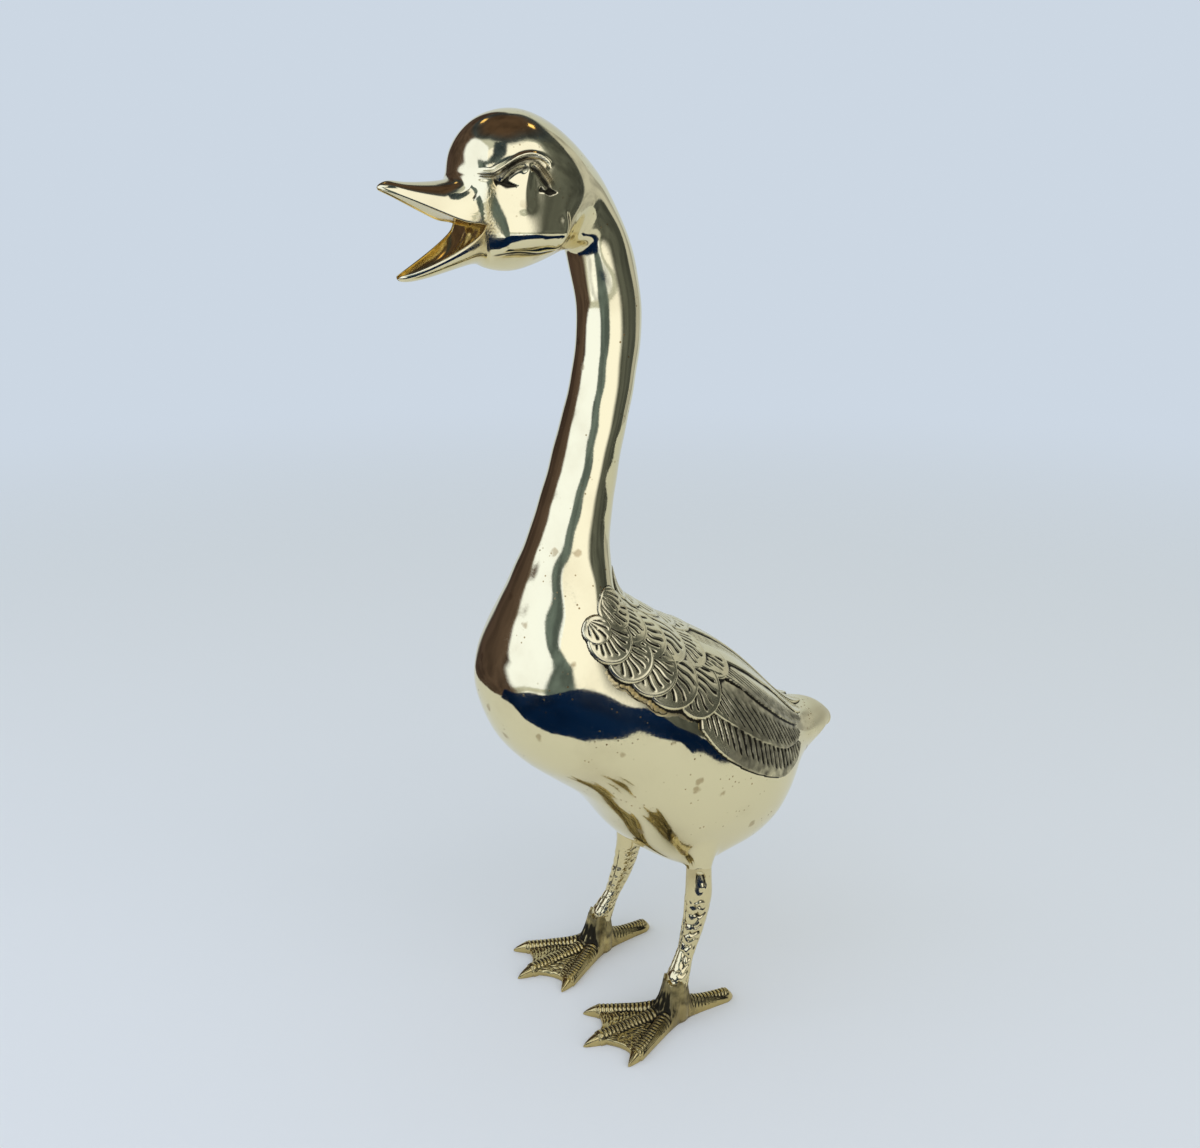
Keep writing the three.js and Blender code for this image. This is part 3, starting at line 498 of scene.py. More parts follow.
# Flight feathers: place, upper and lower edge in degrees, then the step and turn of the cuts, the share of
# the feather that is cut and the depth of the cuts
FEATHERS = (
    (((4.9, -4, 12), (4.1, -4, 16), (3.3, -4, 17), (2.5, -4, 20), (1.9, 0, 27), (1.55, 8, 24)),
     0.0022, 16, (0.25, 0.75), 0.0004),
    (((4.9, 12, 32), (4.16, 14, 34.6), (3.51, 16, 36.8), (2.76, 18, 35.8), (2.23, 24, 45.6), (1.85, 30, 47)),
     0.0021, 22, (0.05, 0.62), 0.0005),
    (((5.0, 28, 42), (4.37, 32, 43.9), (3.83, 34, 53.6), (3.31, 35, 57.8), (2.57, 36, 60.5), (2.1, 44, 59)),
     0.0024, 40, (0.35, 0.9), 0.0005),
    (((5.1, 44, 62), (4.6, 44, 66.7), (4.02, 50, 74.2), (3.35, 56, 77.9), (2.93, 58, 75.8), (2.4, 60, 72.3)),
     0.0036, 62, (0.3, 0.92), 0.0008),
    (((5.3, 60, 74), (4.69, 62, 82.9), (4.07, 70, 90.2), (3.46, 76, 94.1), (2.86, 76, 88.1), (2.5, 73, 80)),
     0.0045, 84, (0.0, 0.74), 0.0012),
)
FEATHER_LOW, FEATHER_TILT, FEATHER_BEVEL_WIDTH = 0.0011, 0.0013, 0.0011
FEATHER_SWAY, FEATHER_SWAY_LENGTH = 0.0004, 0.006
TIP_ROUNDING, TIP_RUN = 0.42, 0.04
CUT_EASE = 0.08


def jitter(index, seed):
    """A fixed uneven value from 0 to 1 for each numbered cut."""
    return np.modf(np.abs(np.sin(index * 12.9898 + seed * 78.233)) * 437.5453)[0]


def cut_lines(across, step, seed):
    """Grooves side by side: how deep each point lies in its groove, and an uneven value for that groove."""
    number = np.round(across / step)
    offset = np.abs(across / step - number) * 2
    return np.clip(1 - (offset / 0.55) ** 2, 0, 1) ** 1.5, jitter(number, seed)


def spread(height, radius):
    """Height averaged over a square window, to find recesses."""
    for axis in (0, 1):
        padded = np.pad(height, [(radius + 1, radius) if a == axis else (0, 0) for a in (0, 1)], mode="edge")
        total = np.cumsum(padded, axis=axis)
        ahead = np.take(total, range(2 * radius + 1, total.shape[axis]), axis=axis)
        behind = np.take(total, range(0, total.shape[axis] - 2 * radius - 1), axis=axis)
        height = (ahead - behind) / (2 * radius + 1)
    return height


def hump(reach, spread_out):
    """A soft round hump of height 1."""
    return np.exp(-(reach / spread_out) ** 2)


def pebbled(across, down, seed):
    """Round pebbles packed side by side, 1 on top and 0 in the gaps; both places are counted in pebbles."""
    near = np.full(np.shape(across), 9.0)
    for step_across in (-1, 0, 1):
        for step_down in (-1, 0, 1):
            column = np.floor(across) + step_across
            row = np.floor(down) + step_down
            number = column * 1.37 + row * 7.91
            apart = (across - column - 0.15 - 0.7 * jitter(number, seed)) ** 2
            apart += (down - row - 0.15 - 0.7 * jitter(number, seed + 1)) ** 2
            near = np.minimum(near, apart)
    return np.clip(1 - 1.5 * near, 0, 1)


def on_plane(points, place, degrees):
    """Where points lie on the flat that touches the skin at a place: towards the rear and downwards."""
    near_places = np.array([place, place + 0.01, place])
    middle, ahead, lower = skin(near_places, np.radians([degrees, degrees, degrees + 0.5]))
    normal = np.cross(ahead - middle, lower - middle)
    normal /= np.linalg.norm(normal)
    rear = np.array([0, 1, 0]) - normal * normal[1]
    rear /= np.linalg.norm(rear)
    return (points - middle) @ rear, (points - middle) @ np.cross(rear, normal)


def softened(values, width):
    """Evenly spaced values with their corners rounded over an odd number of them."""
    weights = np.hanning(width) / np.hanning(width).sum()
    return np.convolve(np.pad(values, width // 2, mode="edge"), weights, "valid")


def rounded_line(places, degrees):
    """A line of degrees over the places along the skin, with its corners rounded."""
    fine = np.linspace(1.0, 6.0, 251)
    values = softened(np.interp(fine, places[::-1], degrees[::-1]), 27)
    return lambda place: np.interp(place, fine, values)


def wing_relief(points, place, degrees):
    """Height of the chased wing above the skin, and how much of it is left raw."""
    relief = np.full(place.shape, UNDER_SKIN)
    for number, (stations, step, turn, (cut_from, cut_to), cut_depth) in enumerate(FEATHERS):
        at, upper, lower = np.array(stations).T
        top, foot = rounded_line(at, upper)(place), rounded_line(at, lower)(place)
        share = (degrees - top) / (foot - top)
        to_tip = place - at[-1]
        rounding = np.sqrt(np.clip(1 - np.clip(1 - to_tip / TIP_ROUNDING, 0, 1) ** 2, 0, 1))
        inside = (np.abs(share - 0.5) <= 0.5 * rounding) & (to_tip > 0) & (place < at[0])
        back, down = on_plane(points, float(at.mean()), float((upper + lower).mean() / 2))
        width = np.ptp(down[inside]) * 0.6
        to_edge = np.minimum((0.5 + 0.5 * rounding - share) * width, to_tip * TIP_RUN)
        height = FEATHER_LOW + FEATHER_TILT * share
        height = height - SCALE_BEVEL * (1 - np.clip(to_edge / FEATHER_BEVEL_WIDTH, 0, 1)) ** 2
        angle = math.radians(turn)
        wavy = FEATHER_SWAY * np.sin(back / FEATHER_SWAY_LENGTH + number)
        groove, chance = cut_lines(down * math.cos(angle) - back * math.sin(angle) + wavy, step, number)
        cut = ramp(share, cut_from - CUT_EASE, cut_from + CUT_EASE + 0.1 * chance)
        cut *= 1 - ramp(share, cut_to - CUT_EASE - 0.14 * chance, cut_to + 0.04)
        height -= groove * cut * cut_depth
        relief = np.where(inside, np.maximum(relief, height), relief)
    braze = np.zeros(place.shape)
    for row, (lean, fan_reach, cut_step, scales) in enumerate(SCALE_ROWS):
        lean = math.radians(lean)
        for number, (at, turn_down, radius) in enumerate(scales):
            back, down = on_plane(points, at, turn_down)
            reach = np.hypot(back, down)
            to_edge = radius - reach
            tilt = (back * math.cos(lean) + down * math.sin(lean)) / radius
            height = SCALE_HEIGHT + SCALE_TILT * tilt + SCALE_CROWN * (1 - (reach / radius) ** 2)
            height -= SCALE_BEVEL * (1 - np.clip(to_edge / SCALE_BEVEL_WIDTH, 0, 1)) ** 2
            size = min(1, radius / FULL_SCALE)
            height += RIM_BEAD * ramp(size, 0.6, 1) * hump(to_edge - RIM_BEAD_INSET, RIM_BEAD_SPREAD)
            fan_back, fan_down = fan_reach * radius * math.cos(lean), fan_reach * radius * math.sin(lean)
            fan = np.arctan2(down + fan_down, back + fan_back)
            wavy = FAN_SWAY * np.sin(reach / FAN_SWAY_LENGTH + 2.1 * number + row)
            groove, chance = cut_lines(fan - lean + wavy, math.radians(cut_step / size), 7 * row + number)
            margin = (CUT_RIM + CUT_RIM_PLAY * chance) * size
            cut = ramp(to_edge, margin - CUT_FADE, margin + CUT_FADE)
            cut *= 1 - ramp(to_edge, *((start + CUT_START_PLAY * chance) * radius for start in CUT_STARTS))
            height -= groove * cut * CUT_DEPTH
            relief = np.where(to_edge > 0, np.maximum(relief, height), relief)
            if row == 0 and number > 1:
                below = ramp((down - 0.35 * back) / np.maximum(reach, 1e-9), 0.1, 0.55)
                braze = np.maximum(braze, below * ramp(to_edge, -BRAZE_MARGIN, -0.2 * BRAZE_MARGIN))
    raw = np.where(relief > UNDER_SKIN, 0.0, braze)
    grain = pebbled(points[..., 1] / 0.0031, points[..., 2] / 0.0024, 21)
    grain = 0.6 * grain + 0.4 * pebbled(points[..., 1] / 0.0013, points[..., 2] / 0.0011, 22)
    patchy = np.sin(points[..., 1] / 0.009) + np.sin(points[..., 2] / 0.006)
    raw = raw * (0.55 + 0.45 * ramp(patchy, -1.2, 0.8))
    relief = np.where(raw > RAW_SEEN, UNDER_SKIN + raw * (BRAZE_LOW + BRAZE_GRAIN * grain), relief)
    return relief, raw


chased_brass = brass(
    "chased_brass", PALE_BRASS, BROWN_TARNISH, clouding=0.3, spotting=0.4, polish=0.2,
    recess=True, raw=True)
edge_place, edge_degrees = np.array(WING_LOWER_EDGE).T
lengthwise, downwise = np.meshgrid(
    np.linspace(0, 1, WING_ROWS), widened(np.linspace(0, 1, WING_COLUMNS))[:-1], indexing="ij")
wing_place = WING_PLACES[0] + (WING_PLACES[1] - WING_PLACES[0]) * lengthwise
wing_degrees = np.interp(wing_place, edge_place, edge_degrees) * downwise
wing_bed = skin(wing_place, np.radians(wing_degrees))
wing_normal = -outward(wing_bed)[:, 1:]
wing_place, wing_degrees, wing_bed = wing_place[:, 1:], wing_degrees[:, 1:], wing_bed[:, 1:]
relief, wing_raw = wing_relief(wing_bed, wing_place, wing_degrees)
# Dark below the wing's average height: patina in the cuts, and painted shade at the foot of each raised
# edge.
wing_recess = np.clip((spread(relief, PATINA_AND_SHADE_WINDOW) - relief) / PATINA_AND_SHADE_DEPTH, 0, 1)
dark = DARK_FEATHERS * ramp(wing_degrees, *DARK_DEGREES) * (1 - ramp(wing_place, *DARK_PLACES))
wing_recess = np.maximum(wing_recess, dark * (relief > 0))
# A thin strip of skin just beside the wing is raised a little and painted dark: painted shadow along the
# wing's edge.
covered = relief > 0.0005
beside = np.clip(spread(covered.astype(float), 2) * 3, 0, 1) * ~covered
relief = np.where(beside > 0.3, np.maximum(relief, LINE_HEIGHT), relief)
wing_recess = np.maximum(wing_recess, EDGE_SHADOW * beside)
WING_UNDERSIDE = -0.0022
UNDERSIDE_STEP = 8


def closed_sheet(name, top, bottom, step, materials, right=False, **attributes):
    """A closed sheet: a fine top grid, a coarse underside and walls between their borders."""
    rows, columns = top.shape[:2]
    under = bottom[::step, ::step]
    under_rows, under_columns = under.shape[:2]
    first = rows * columns
    fine = np.arange(first).reshape(rows, columns)
    coarse = first + np.arange(under_rows * under_columns).reshape(under_rows, under_columns)
    faces = grid_faces(rows, columns)
    skin_count = len(faces)
    faces += grid_faces(under_rows, under_columns, first)
    borders = ((fine[0], coarse[0]), (fine[-1], coarse[-1]),
               (fine[:, 0], coarse[:, 0]), (fine[:, -1], coarse[:, -1]))
    for upper, lower in borders:
        for index in range(len(lower) - 1):
            wall = upper[index * step:(index + 1) * step + 1].tolist()
            faces.append(wall + [int(lower[index + 1]), int(lower[index])])
    points = np.concatenate([top.reshape(-1, 3), under.reshape(-1, 3)])
    values = {label: np.append(value.reshape(-1), np.ones(under_rows * under_columns))
              for label, value in attributes.items()}
    if right:
        points = points * MIRROR
    return piece_from(name, points, faces, np.arange(len(faces)) < skin_count, materials, **values)


wing_top = wing_bed + wing_normal * relief[..., None]
wing_under = wing_bed + wing_normal * WING_UNDERSIDE
for side, right in SIDES:
    wing = closed_sheet(f"wing_{side}", wing_top, wing_under, UNDERSIDE_STEP, [chased_brass], right,
                        recess=wing_recess, raw=wing_raw)
    fit(wing, f"{side}_wing")

# Neck: a slim tube of two cast brass halves, brazed to the body over a hidden sleeve and polished
# through, so that only a hairline shows at the joint.
NECK_ROWS, NECK_COLUMNS = 170, 96
NECK_SQUARED, NECK_SQUARED_FROM = 0.45, (12.7, 13.7)


def neck_fullness(place):
    """How far the front of the neck is squared off towards its top."""
    return NECK_SQUARED * ramp(place, *NECK_SQUARED_FROM)


places, angles = np.meshgrid(
    widened(np.linspace(NECK_SEAM, HEAD_SEAM, NECK_ROWS)),
    widened(np.linspace(0, math.pi, NECK_COLUMNS)), indexing="ij")
neck = buffed(skin(places, angles, neck_fullness(places)))
for side, right in SIDES:
    half = half_casting(f"neck_{side}", neck, polished_brass, right)
    fit(half, f"neck_{side}_shell")

# Head: two cast brass halves, brazed to the neck over a hidden sleeve. The brow is a chiselled arch over
# a smooth eye bulge, the jaw ends in a crease, and a rough band is left where the bill is brazed on.
MOUTH_TURN = math.radians(108)
UPPER_COLUMNS, LOWER_COLUMNS, HEAD_ROWS = 110, 76, 190
MM = 0.001
CHEEK_SQUARED, CHEEK_FROM, CHEEK_TO = 0.9, (14.5, 15.3), (16.7, 17.4)
FACE_FROM = (HEAD_SEAM + 0.05, HEAD_SEAM + 0.7)
# Where the bill starts, as places along the skin, every 30 degrees from the crown to the chin
face_edge = smooth_line((17.97, 17.86, 17.5, 17.4, 17.42, 17.15, 17.05))
# Lines on the left side of the face, in millimetres
BROW_LINE = ((16.0, -116.4, 526.3), (23.3, -110.6, 525.5), (25.5, -106.3, 527.1), (26.9, -100.7, 530.5),
             (27.7, -93.4, 534.0), (28.4, -86.2, 534.8), (29.2, -80.7, 532.6), (30.0, -78.0, 529.3))
BROW_RIDGE = ((26.0, -106.9, 522.9), (26.8, -103.7, 526.3), (27.6, -98.9, 529.7), (28.3, -93.9, 531.5),
              (29.0, -88.9, 531.7), (29.8, -85.0, 529.6), (30.7, -81.6, 525.3), (31.3, -76.3, 518.6))
EYE_DROP = ((29.3, -90.9, 529.1), (29.9, -92.2, 524.3), (29.9, -93.4, 519.0), (29.4, -93.8, 511.0))
SLITS = (((25.1, -108.6, 521.5), (26.2, -106.6, 522.0), (28.0, -102.2, 521.2), (29.6, -96.4, 520.3)),
         ((31.0, -86.1, 519.5), (31.2, -82.8, 517.8), (31.4, -78.9, 517.3), (31.3, -74.6, 517.1)))
JAW = ((12.4, -106.6, 485.1), (17.2, -101.6, 486.3), (20.0, -95.5, 487.2), (20.6, -89.1, 486.8),
       (20.2, -82.1, 486.1), (20.0, -76.6, 486.8), (20.0, -70.7, 488.4), (22.7, -68.4, 492.0),
       (24.9, -67.6, 495.2), (27.4, -66.7, 500.0), (29.2, -67.5, 504.7), (30.4, -68.3, 510.0))
CHEEK = np.array((27.0, -86.0, 505.0))
BILL_BAND = ((24.8, -108.7, 523.7), (24.4, -109.9, 517.5), (23.0, -110.7, 510.2),
             (21.7, -110.2, 503.6), (19.7, -109.6, 498.0))
MOUTH_CORNER = np.array((19.6, -110.8, 500.2))
THROAT = np.array((0, -100.0, 501.0))
THROAT_STAIN = np.array((15.0, -66.0, 489.0))


def distance(points, others):
    """How far points lie from others."""
    return np.linalg.norm(points - others, axis=-1)


def from_path(points, path):
    """How far each point lies from a smooth path and along it, and the nearest point of the path."""
    steps = smooth_line(np.array(path))(np.linspace(0, len(path) - 1, 36))
    reach = np.full(points.shape[:-1], np.inf)
    along = np.zeros(points.shape[:-1])
    foot = np.zeros(points.shape)
    for index, (one, other) in enumerate(zip(steps[:-1], steps[1:])):
        run = other - one
        share = np.clip((points - one) @ run / (run @ run), 0, 1)
        near = one + share[..., None] * run
        gap = distance(points, near)
        closer = gap < reach
        reach = np.where(closer, gap, reach)
        along = np.where(closer, (index + share) / (len(steps) - 1), along)
        foot = np.where(closer[..., None], near, foot)
    return reach, along, foot


def soft_ends(along, start, end):
    """1 from one share of a path to another, fading out towards its ends."""
    return ramp(along, 0, start) * (1 - ramp(along, end, 1))


def face_relief(points):
    """Height of the chiselled face above the skin in millimetres, with its recesses and its raw places."""
    line_reach, line_along, _ = from_path(points, BROW_LINE)
    ridge_reach, ridge_along, ridge_foot = from_path(points, BROW_RIDGE)
    eye_reach, eye_along, eye_foot = from_path(points, EYE_DROP)
    line_part = soft_ends(line_along, 0.1, 0.9)
    ridge_part = soft_ends(ridge_along, 0.08, 0.9)
    below = distance(points, eye_foot) < distance(ridge_foot, eye_foot)
    chatter = 0.85 + 0.15 * np.sin(ridge_along * 21 + 2 * np.sin(ridge_along * 9))
    under = hump(ridge_reach - 2.5, 1.1) * below * ridge_part
    chisel = (hump(ridge_reach - 1.9, 0.45) * ~below + hump(ridge_reach, 0.3) * 0.7) * ridge_part * chatter
    height = 0.8 * hump(line_reach - 1.2, 1.4) * line_part - 1.0 * hump(line_reach, 0.75) * line_part
    outer_end = ramp(ridge_along, 0.55, 0.8)
    height += (1.05 - 0.3 * outer_end) * hump(ridge_reach, 1.7) * ridge_part - 0.7 * under - 0.2 * chisel
    recess = 0.7 * hump(line_reach, 0.6) * line_part * chatter + 0.7 * under + 0.4 * chisel
    recess += 0.4 * outer_end * hump(ridge_reach, 3.0) * ridge_part
    recess = np.maximum(recess, 0.8 * hump(line_reach, 3.2) * hump(ridge_reach, 3.2) * line_part)
    recess = np.maximum(recess, 0.5 * hump(line_reach, 2.4) * line_part * (1 - ramp(line_along, 0.15, 0.4)))
    raw = (0.25 + 0.5 * outer_end) * hump(ridge_reach, 1.9 + 1.2 * outer_end) * ridge_part
    height += (1.5 - 0.5 * eye_along) * hump(eye_reach, 1.7 + 3.0 * eye_along)
    # The slits are cut in, and a wider dark band round each is painted as the shadow of its undercut.
    for slit in SLITS:
        reach, along, _ = from_path(points, slit)
        half_width = 0.75 + 0.35 * np.sin(along * 11 + 1)
        open_part = soft_ends(along, 0.15, 0.85)
        height -= 0.9 * hump(reach, half_width) * open_part
        recess += 1.3 * hump(reach, 1.6 * half_width) * open_part
    reach, along, foot = from_path(points, JAW)
    on_cheek = distance(points, CHEEK) < distance(foot, CHEEK)
    deep = soft_ends(along, 0.08, 0.88)
    rear = ramp(points[..., 1], -80, -69)
    roll = 1.8 * (1 - np.exp(-reach / 1.6)) * hump(reach, 5.5)
    height += (rear * np.where(on_cheek, roll, 0) - (0.3 + 0.3 * rear) * hump(reach, 0.8)) * deep
    stain = 0.85 * hump(distance(points, THROAT_STAIN), 6.5) * ~on_cheek
    stain = np.maximum(stain, 0.4 * hump(reach, 3.5) * deep * ~on_cheek)
    # A dark line along the jaw crease: painted shade.
    recess += 0.85 * hump(reach, 0.7) * deep
    band_reach, _, _ = from_path(points, BILL_BAND)
    corner_reach = distance(points, MOUTH_CORNER)
    rough = np.maximum(0.75 * hump(band_reach, 2.4), 0.95 * hump(corner_reach, 6.5))
    grain = 0.5 * pebbled(points[..., 1] / 1.4, points[..., 2] / 1.6, 3)
    grain += 0.5 * pebbled(points[..., 1] / 0.8, points[..., 2] / 0.7, 4)
    height += rough * (0.22 * grain - 0.05)
    recess += 0.3 * hump(corner_reach, 6.0) * (1 - grain) ** 2
    return height, np.clip(recess, 0, 1), np.clip(raw + rough + stain, 0, 1)


face_brass = brass(
    "face_brass", PALE_BRASS, BROWN_TARNISH, clouding=0.16, spotting=0.5, polish=0.055,
    recess=True, raw=True)
turns = np.concatenate([
    np.linspace(0, MOUTH_TURN, UPPER_COLUMNS), np.linspace(MOUTH_TURN, math.pi, LOWER_COLUMNS)[1:]])
shares, angles = np.meshgrid(widened(np.linspace(0, 1, HEAD_ROWS)), widened(turns), indexing="ij")
places = HEAD_SEAM + (face_edge(np.degrees(angles) / 30) - HEAD_SEAM) * shares
head_height, head_recess, head_raw = face_relief(skin(places, angles, slim=0) / MM)
fullness = np.maximum(neck_fullness(places), CHEEK_SQUARED * ramp(places, *CHEEK_FROM))
fullness *= 1 - ramp(places, *CHEEK_TO)
head = skin(places, angles, fullness)
head_height *= ramp(places, *FACE_FROM)
head = buffed(head) + outward(head) * (head_height * MM)[..., None]
for side, right in SIDES:
    half = half_casting(f"head_{side}", head, face_brass, right, THROAT * MM,
                        recess=head_recess[1:-1, 1:-1], raw=head_raw[1:-1, 1:-1])
    fit(half, f"head_{side}_shell")

# Bill: two cast brass blades, brazed into the face. Both are hollow towards the open mouth, where the
# metal stays golden and unpolished; their rims are filed to a bright bead.
BILL_ROWS, EASED_ROWS, INNER_COLUMNS, LIP_COLUMNS = 90, 14, 44, 6
LIP = 0.0009
UPPER_HOLLOW, LOWER_HOLLOW, TONGUE = 0.18, 0.6, 0.2
# From the face to the tip, in millimetres: the middle line (y, z) and the edge (x, y, z) of each blade
UPPER_MIDDLE = ((-122.0, 525.2), (-127.5, 523.4), (-135.0, 522.8), (-143.0, 522.6),
                (-150.0, 522.9), (-156.0, 523.3), (-160.3, 521.9), (-162.0, 520.4))
UPPER_EDGE = ((19.6, -114.5, 502.6), (18.0, -121.0, 503.6), (15.4, -129.5, 506.8), (12.4, -138.5, 510.6),
              (9.4, -147.0, 514.2), (6.6, -154.5, 517.2), (3.6, -159.8, 519.0), (0.5, -161.9, 519.6))
LOWER_MIDDLE = ((-107.5, 480.3), (-113.0, 480.2), (-120.5, 478.5), (-129.5, 476.2),
                (-138.5, 474.0), (-146.5, 472.7), (-151.2, 472.9), (-152.6, 473.6))
LOWER_EDGE = ((19.9, -112.0, 498.0), (19.2, -115.0, 494.6), (17.6, -121.5, 490.0), (15.0, -130.0, 485.0),
              (11.6, -139.0, 480.4), (7.6, -147.0, 476.8), (3.9, -151.7, 475.2), (0.5, -153.2, 474.4))
NOSTRIL, NOSTRIL_DEPTH = np.array((15.2, -116.8, 515.2)), 1.1
MOUTH_GOLD = (0.8, 0.62, 0.26, 1)


def tube_faces(rows, columns):
    """Four-sided faces between closed rings of points."""
    start = np.arange(rows - 1)[:, None] * columns
    corner = start + np.arange(columns)
    beside = start + np.roll(np.arange(columns), -1)
    return np.stack([corner, beside, beside + columns, corner + columns], -1).reshape(-1, 4).tolist()


def closed_tube(name, rings, materials, right=False, inner=None, normals=None, **attributes):
    """A closed piece from rings of points; inner marks the columns that take the second material."""
    rows, columns = rings.shape[:2]
    faces = tube_faces(rows, columns)
    smooth = np.array([True] * len(faces) + [False, False])
    faces += [list(range(columns)), list(range((rows - 1) * columns, rows * columns))]
    face_material = None
    if inner is not None:
        face_material = np.append(np.tile(inner, rows - 1), [0, 0]).astype(np.int32)
    points = rings.reshape(-1, 3)
    if right:
        points = points * MIRROR
    values = {label: value.reshape(-1) for label, value in attributes.items()}
    return piece_from(name, points, faces, smooth, materials, normals, face_material, **values)


def blade(rim, middle, edge, hollow, tongue, lip_way):
    """Rings of a bill blade from its rim on the face to its tip. The rim runs from the middle line to the
    corner of the mouth on the left side; lip_way is -1 where the lip faces down."""
    station = np.linspace(0, len(middle), BILL_ROWS)
    middle_line = smooth_line(np.concatenate([[rim[0, 1:]], np.array(middle) * MM]))(station)
    edge_line = smooth_line(np.concatenate([[rim[-1]], np.array(edge) * MM]))(station)
    arc = np.linspace(0, math.pi / 2, len(rim))
    depth = middle_line - edge_line[:, 1:]
    outer = np.empty((BILL_ROWS, len(rim), 3))
    outer[..., 0] = edge_line[:, :1] * np.sin(arc)
    outer[..., 1:] = edge_line[:, None, 1:] + depth[:, None] * np.cos(arc)[None, :, None]
    outer += (rim - outer[0]) * (1 - ramp(station, 0, 2.8))[:, None, None]
    girth = np.linalg.norm(depth, axis=-1) + edge_line[:, 0]
    from_edge = (1 - arc / arc[-1]) * girth[:, None]
    outer[..., 0] += 0.12 * MM * hump(from_edge, 1.6 * MM) * ramp(station, 0.6, 2)[:, None]
    lip = np.minimum(LIP, 0.3 * edge_line[:, 0])[:, None]
    side = outer[:, -1]
    lip_turn = np.linspace(math.pi, 0, LIP_COLUMNS + 1)[:-1]
    left_lip = np.repeat(side[:, None], LIP_COLUMNS, 1)
    left_lip[..., 0] -= lip * (1 - np.cos(lip_turn))
    left_lip[..., 2] += lip_way * lip * np.sin(lip_turn)
    across = np.linspace(-1, 1, INNER_COLUMNS + 2)[1:-1]
    open_part = ramp(station, 0, 4.0)[:, None]
    sink = hollow * (1 - np.abs(across) ** 2.4) * open_part
    tongue_part = (ramp(station, 0.4, 1.6) * (1 - ramp(station, 4.5, 7)))[:, None]
    sink = sink - tongue * hump(across, 0.26) * tongue_part
    inside = np.empty((BILL_ROWS, INNER_COLUMNS, 3))
    inside[..., 0] = (side[:, :1] - 2 * lip) * across
    inside[..., 1:] = side[:, None, 1:] + depth[:, None] * sink[..., None]
    right_lip = left_lip[:, ::-1] * MIRROR
    rings = np.concatenate([outer[:, ::-1], outer[:, 1:] * MIRROR, right_lip, inside, left_lip], 1)
    skin_columns = 2 * len(rim) - 1
    inner = np.arange(rings.shape[1]) >= skin_columns + LIP_COLUMNS - 1
    inner &= np.arange(rings.shape[1]) < rings.shape[1] - LIP_COLUMNS
    return rings, inner


mouth_brass = brass(
    "mouth_brass", MOUTH_GOLD, BROWN_TARNISH, clouding=0.3, spotting=0.3, polish=0.1, raw=True)
rim = head[1:-1, 1:-1][-1].copy()
rim[[0, -1], 0] = 0
rim_normals = outward(head)[1:-1, 1:-1][-1].copy()
rim_normals[[0, -1], 0] = 0
upper = blade(rim[:UPPER_COLUMNS], UPPER_MIDDLE, UPPER_EDGE, UPPER_HOLLOW, 0.0, -1)
lower = blade(rim[UPPER_COLUMNS - 1:][::-1], LOWER_MIDDLE, LOWER_EDGE, LOWER_HOLLOW, TONGUE, 1)


def bill_marks(rings, root_reach):
    """Recesses and raw places of a blade: the nostrils and the rough brazed root."""
    left = np.abs(rings / MM) * (1, -1, 1)
    slit = np.hypot((left[..., 1] - NOSTRIL[1] - 0.5 * (left[..., 2] - NOSTRIL[2])) / 0.6,
                    (left[..., 2] - NOSTRIL[2]) / 1.4)
    nostril = np.where(left[..., 0] > 5, hump(slit, 1.0), 0)
    corner = distance(left, MOUTH_CORNER)
    band = from_path(left, BILL_BAND)[0]
    raw = np.maximum(hump(corner, root_reach), 0.7 * hump(band, 2.6))
    return nostril, np.maximum(nostril, 0.3 * hump(corner, 4.0)), raw


def eased_root(rings, root_normals):
    """Normals that turn from those of the face at the root of a blade into its own; 0 elsewhere."""
    half = len(root_normals)
    own = outward(rings)
    root = np.concatenate([root_normals[::-1], root_normals[1:] * MIRROR])
    own = own[:, :2 * half - 1] * np.sign((own[0, :2 * half - 1] * root).sum())
    share = ramp(np.arange(BILL_ROWS), 0, EASED_ROWS)[:, None, None]
    turned = own * share + root * (1 - share)
    normals = np.zeros(rings.shape)
    normals[:EASED_ROWS, 1:2 * half - 2] = turned[:EASED_ROWS, 1:-1]
    return normals.reshape(-1, 3)


# For each blade: its mesh, the normals of the face at its root, how far its root is raw in millimetres, and
# the metal inside the mouth with its share of raw places
blades = (
    ("upper", *upper, rim_normals[:UPPER_COLUMNS], 7.0, face_brass, 0.8),
    ("lower", *lower, rim_normals[UPPER_COLUMNS - 1:][::-1], 14.0, mouth_brass, 0.05),
)
throatward = 1 - ramp(np.linspace(0, len(UPPER_EDGE), BILL_ROWS), 0.8, 3.6)
for label, rings, inner, root_normals, root_reach, inside_brass, inside_raw in blades:
    nostril, recess, raw = bill_marks(rings, root_reach)
    rings[..., 0] -= NOSTRIL_DEPTH * MM * nostril * np.sign(rings[..., 0])
    raw = np.where(inner, inside_raw * throatward[:, None], raw)
    normals = eased_root(rings, root_normals)
    materials = [face_brass, inside_brass]
    piece = closed_tube(f"{label}_blade", rings, materials, False, inner, normals, recess=recess, raw=raw)
    fit(piece, f"{label}_bill")

# Legs: solid cast brass, chased with scales and cuts and left rough on the outside; each has a tenon in
# the stump above it, cross-pinned and brazed, and a spigot in its foot.
LEG_ROWS, LEG_COLUMNS = 160, 108
LEG_TOP, LEG_END = 0.104, 0.0195
ANKLE_X = 0.333 * WIDTH
# Height, radius and place of the middle behind the origin, in millimetres
LEG_LINE = ((19.5, 7.4, -1.0), (29.5, 7.5, 1.6), (38.0, 5.9, 5.6), (46.6, 5.6, 10.2), (55.0, 6.7, 13.6),
            (67.0, 7.6, 17.6), (81.0, 8.8, 20.3), (98.0, 8.2, 20.0), (104.0, 8.2, 20.0))
ankle_axis = Vector((ANKLE_X, LEG_LINE[0][2] * MM, 0))
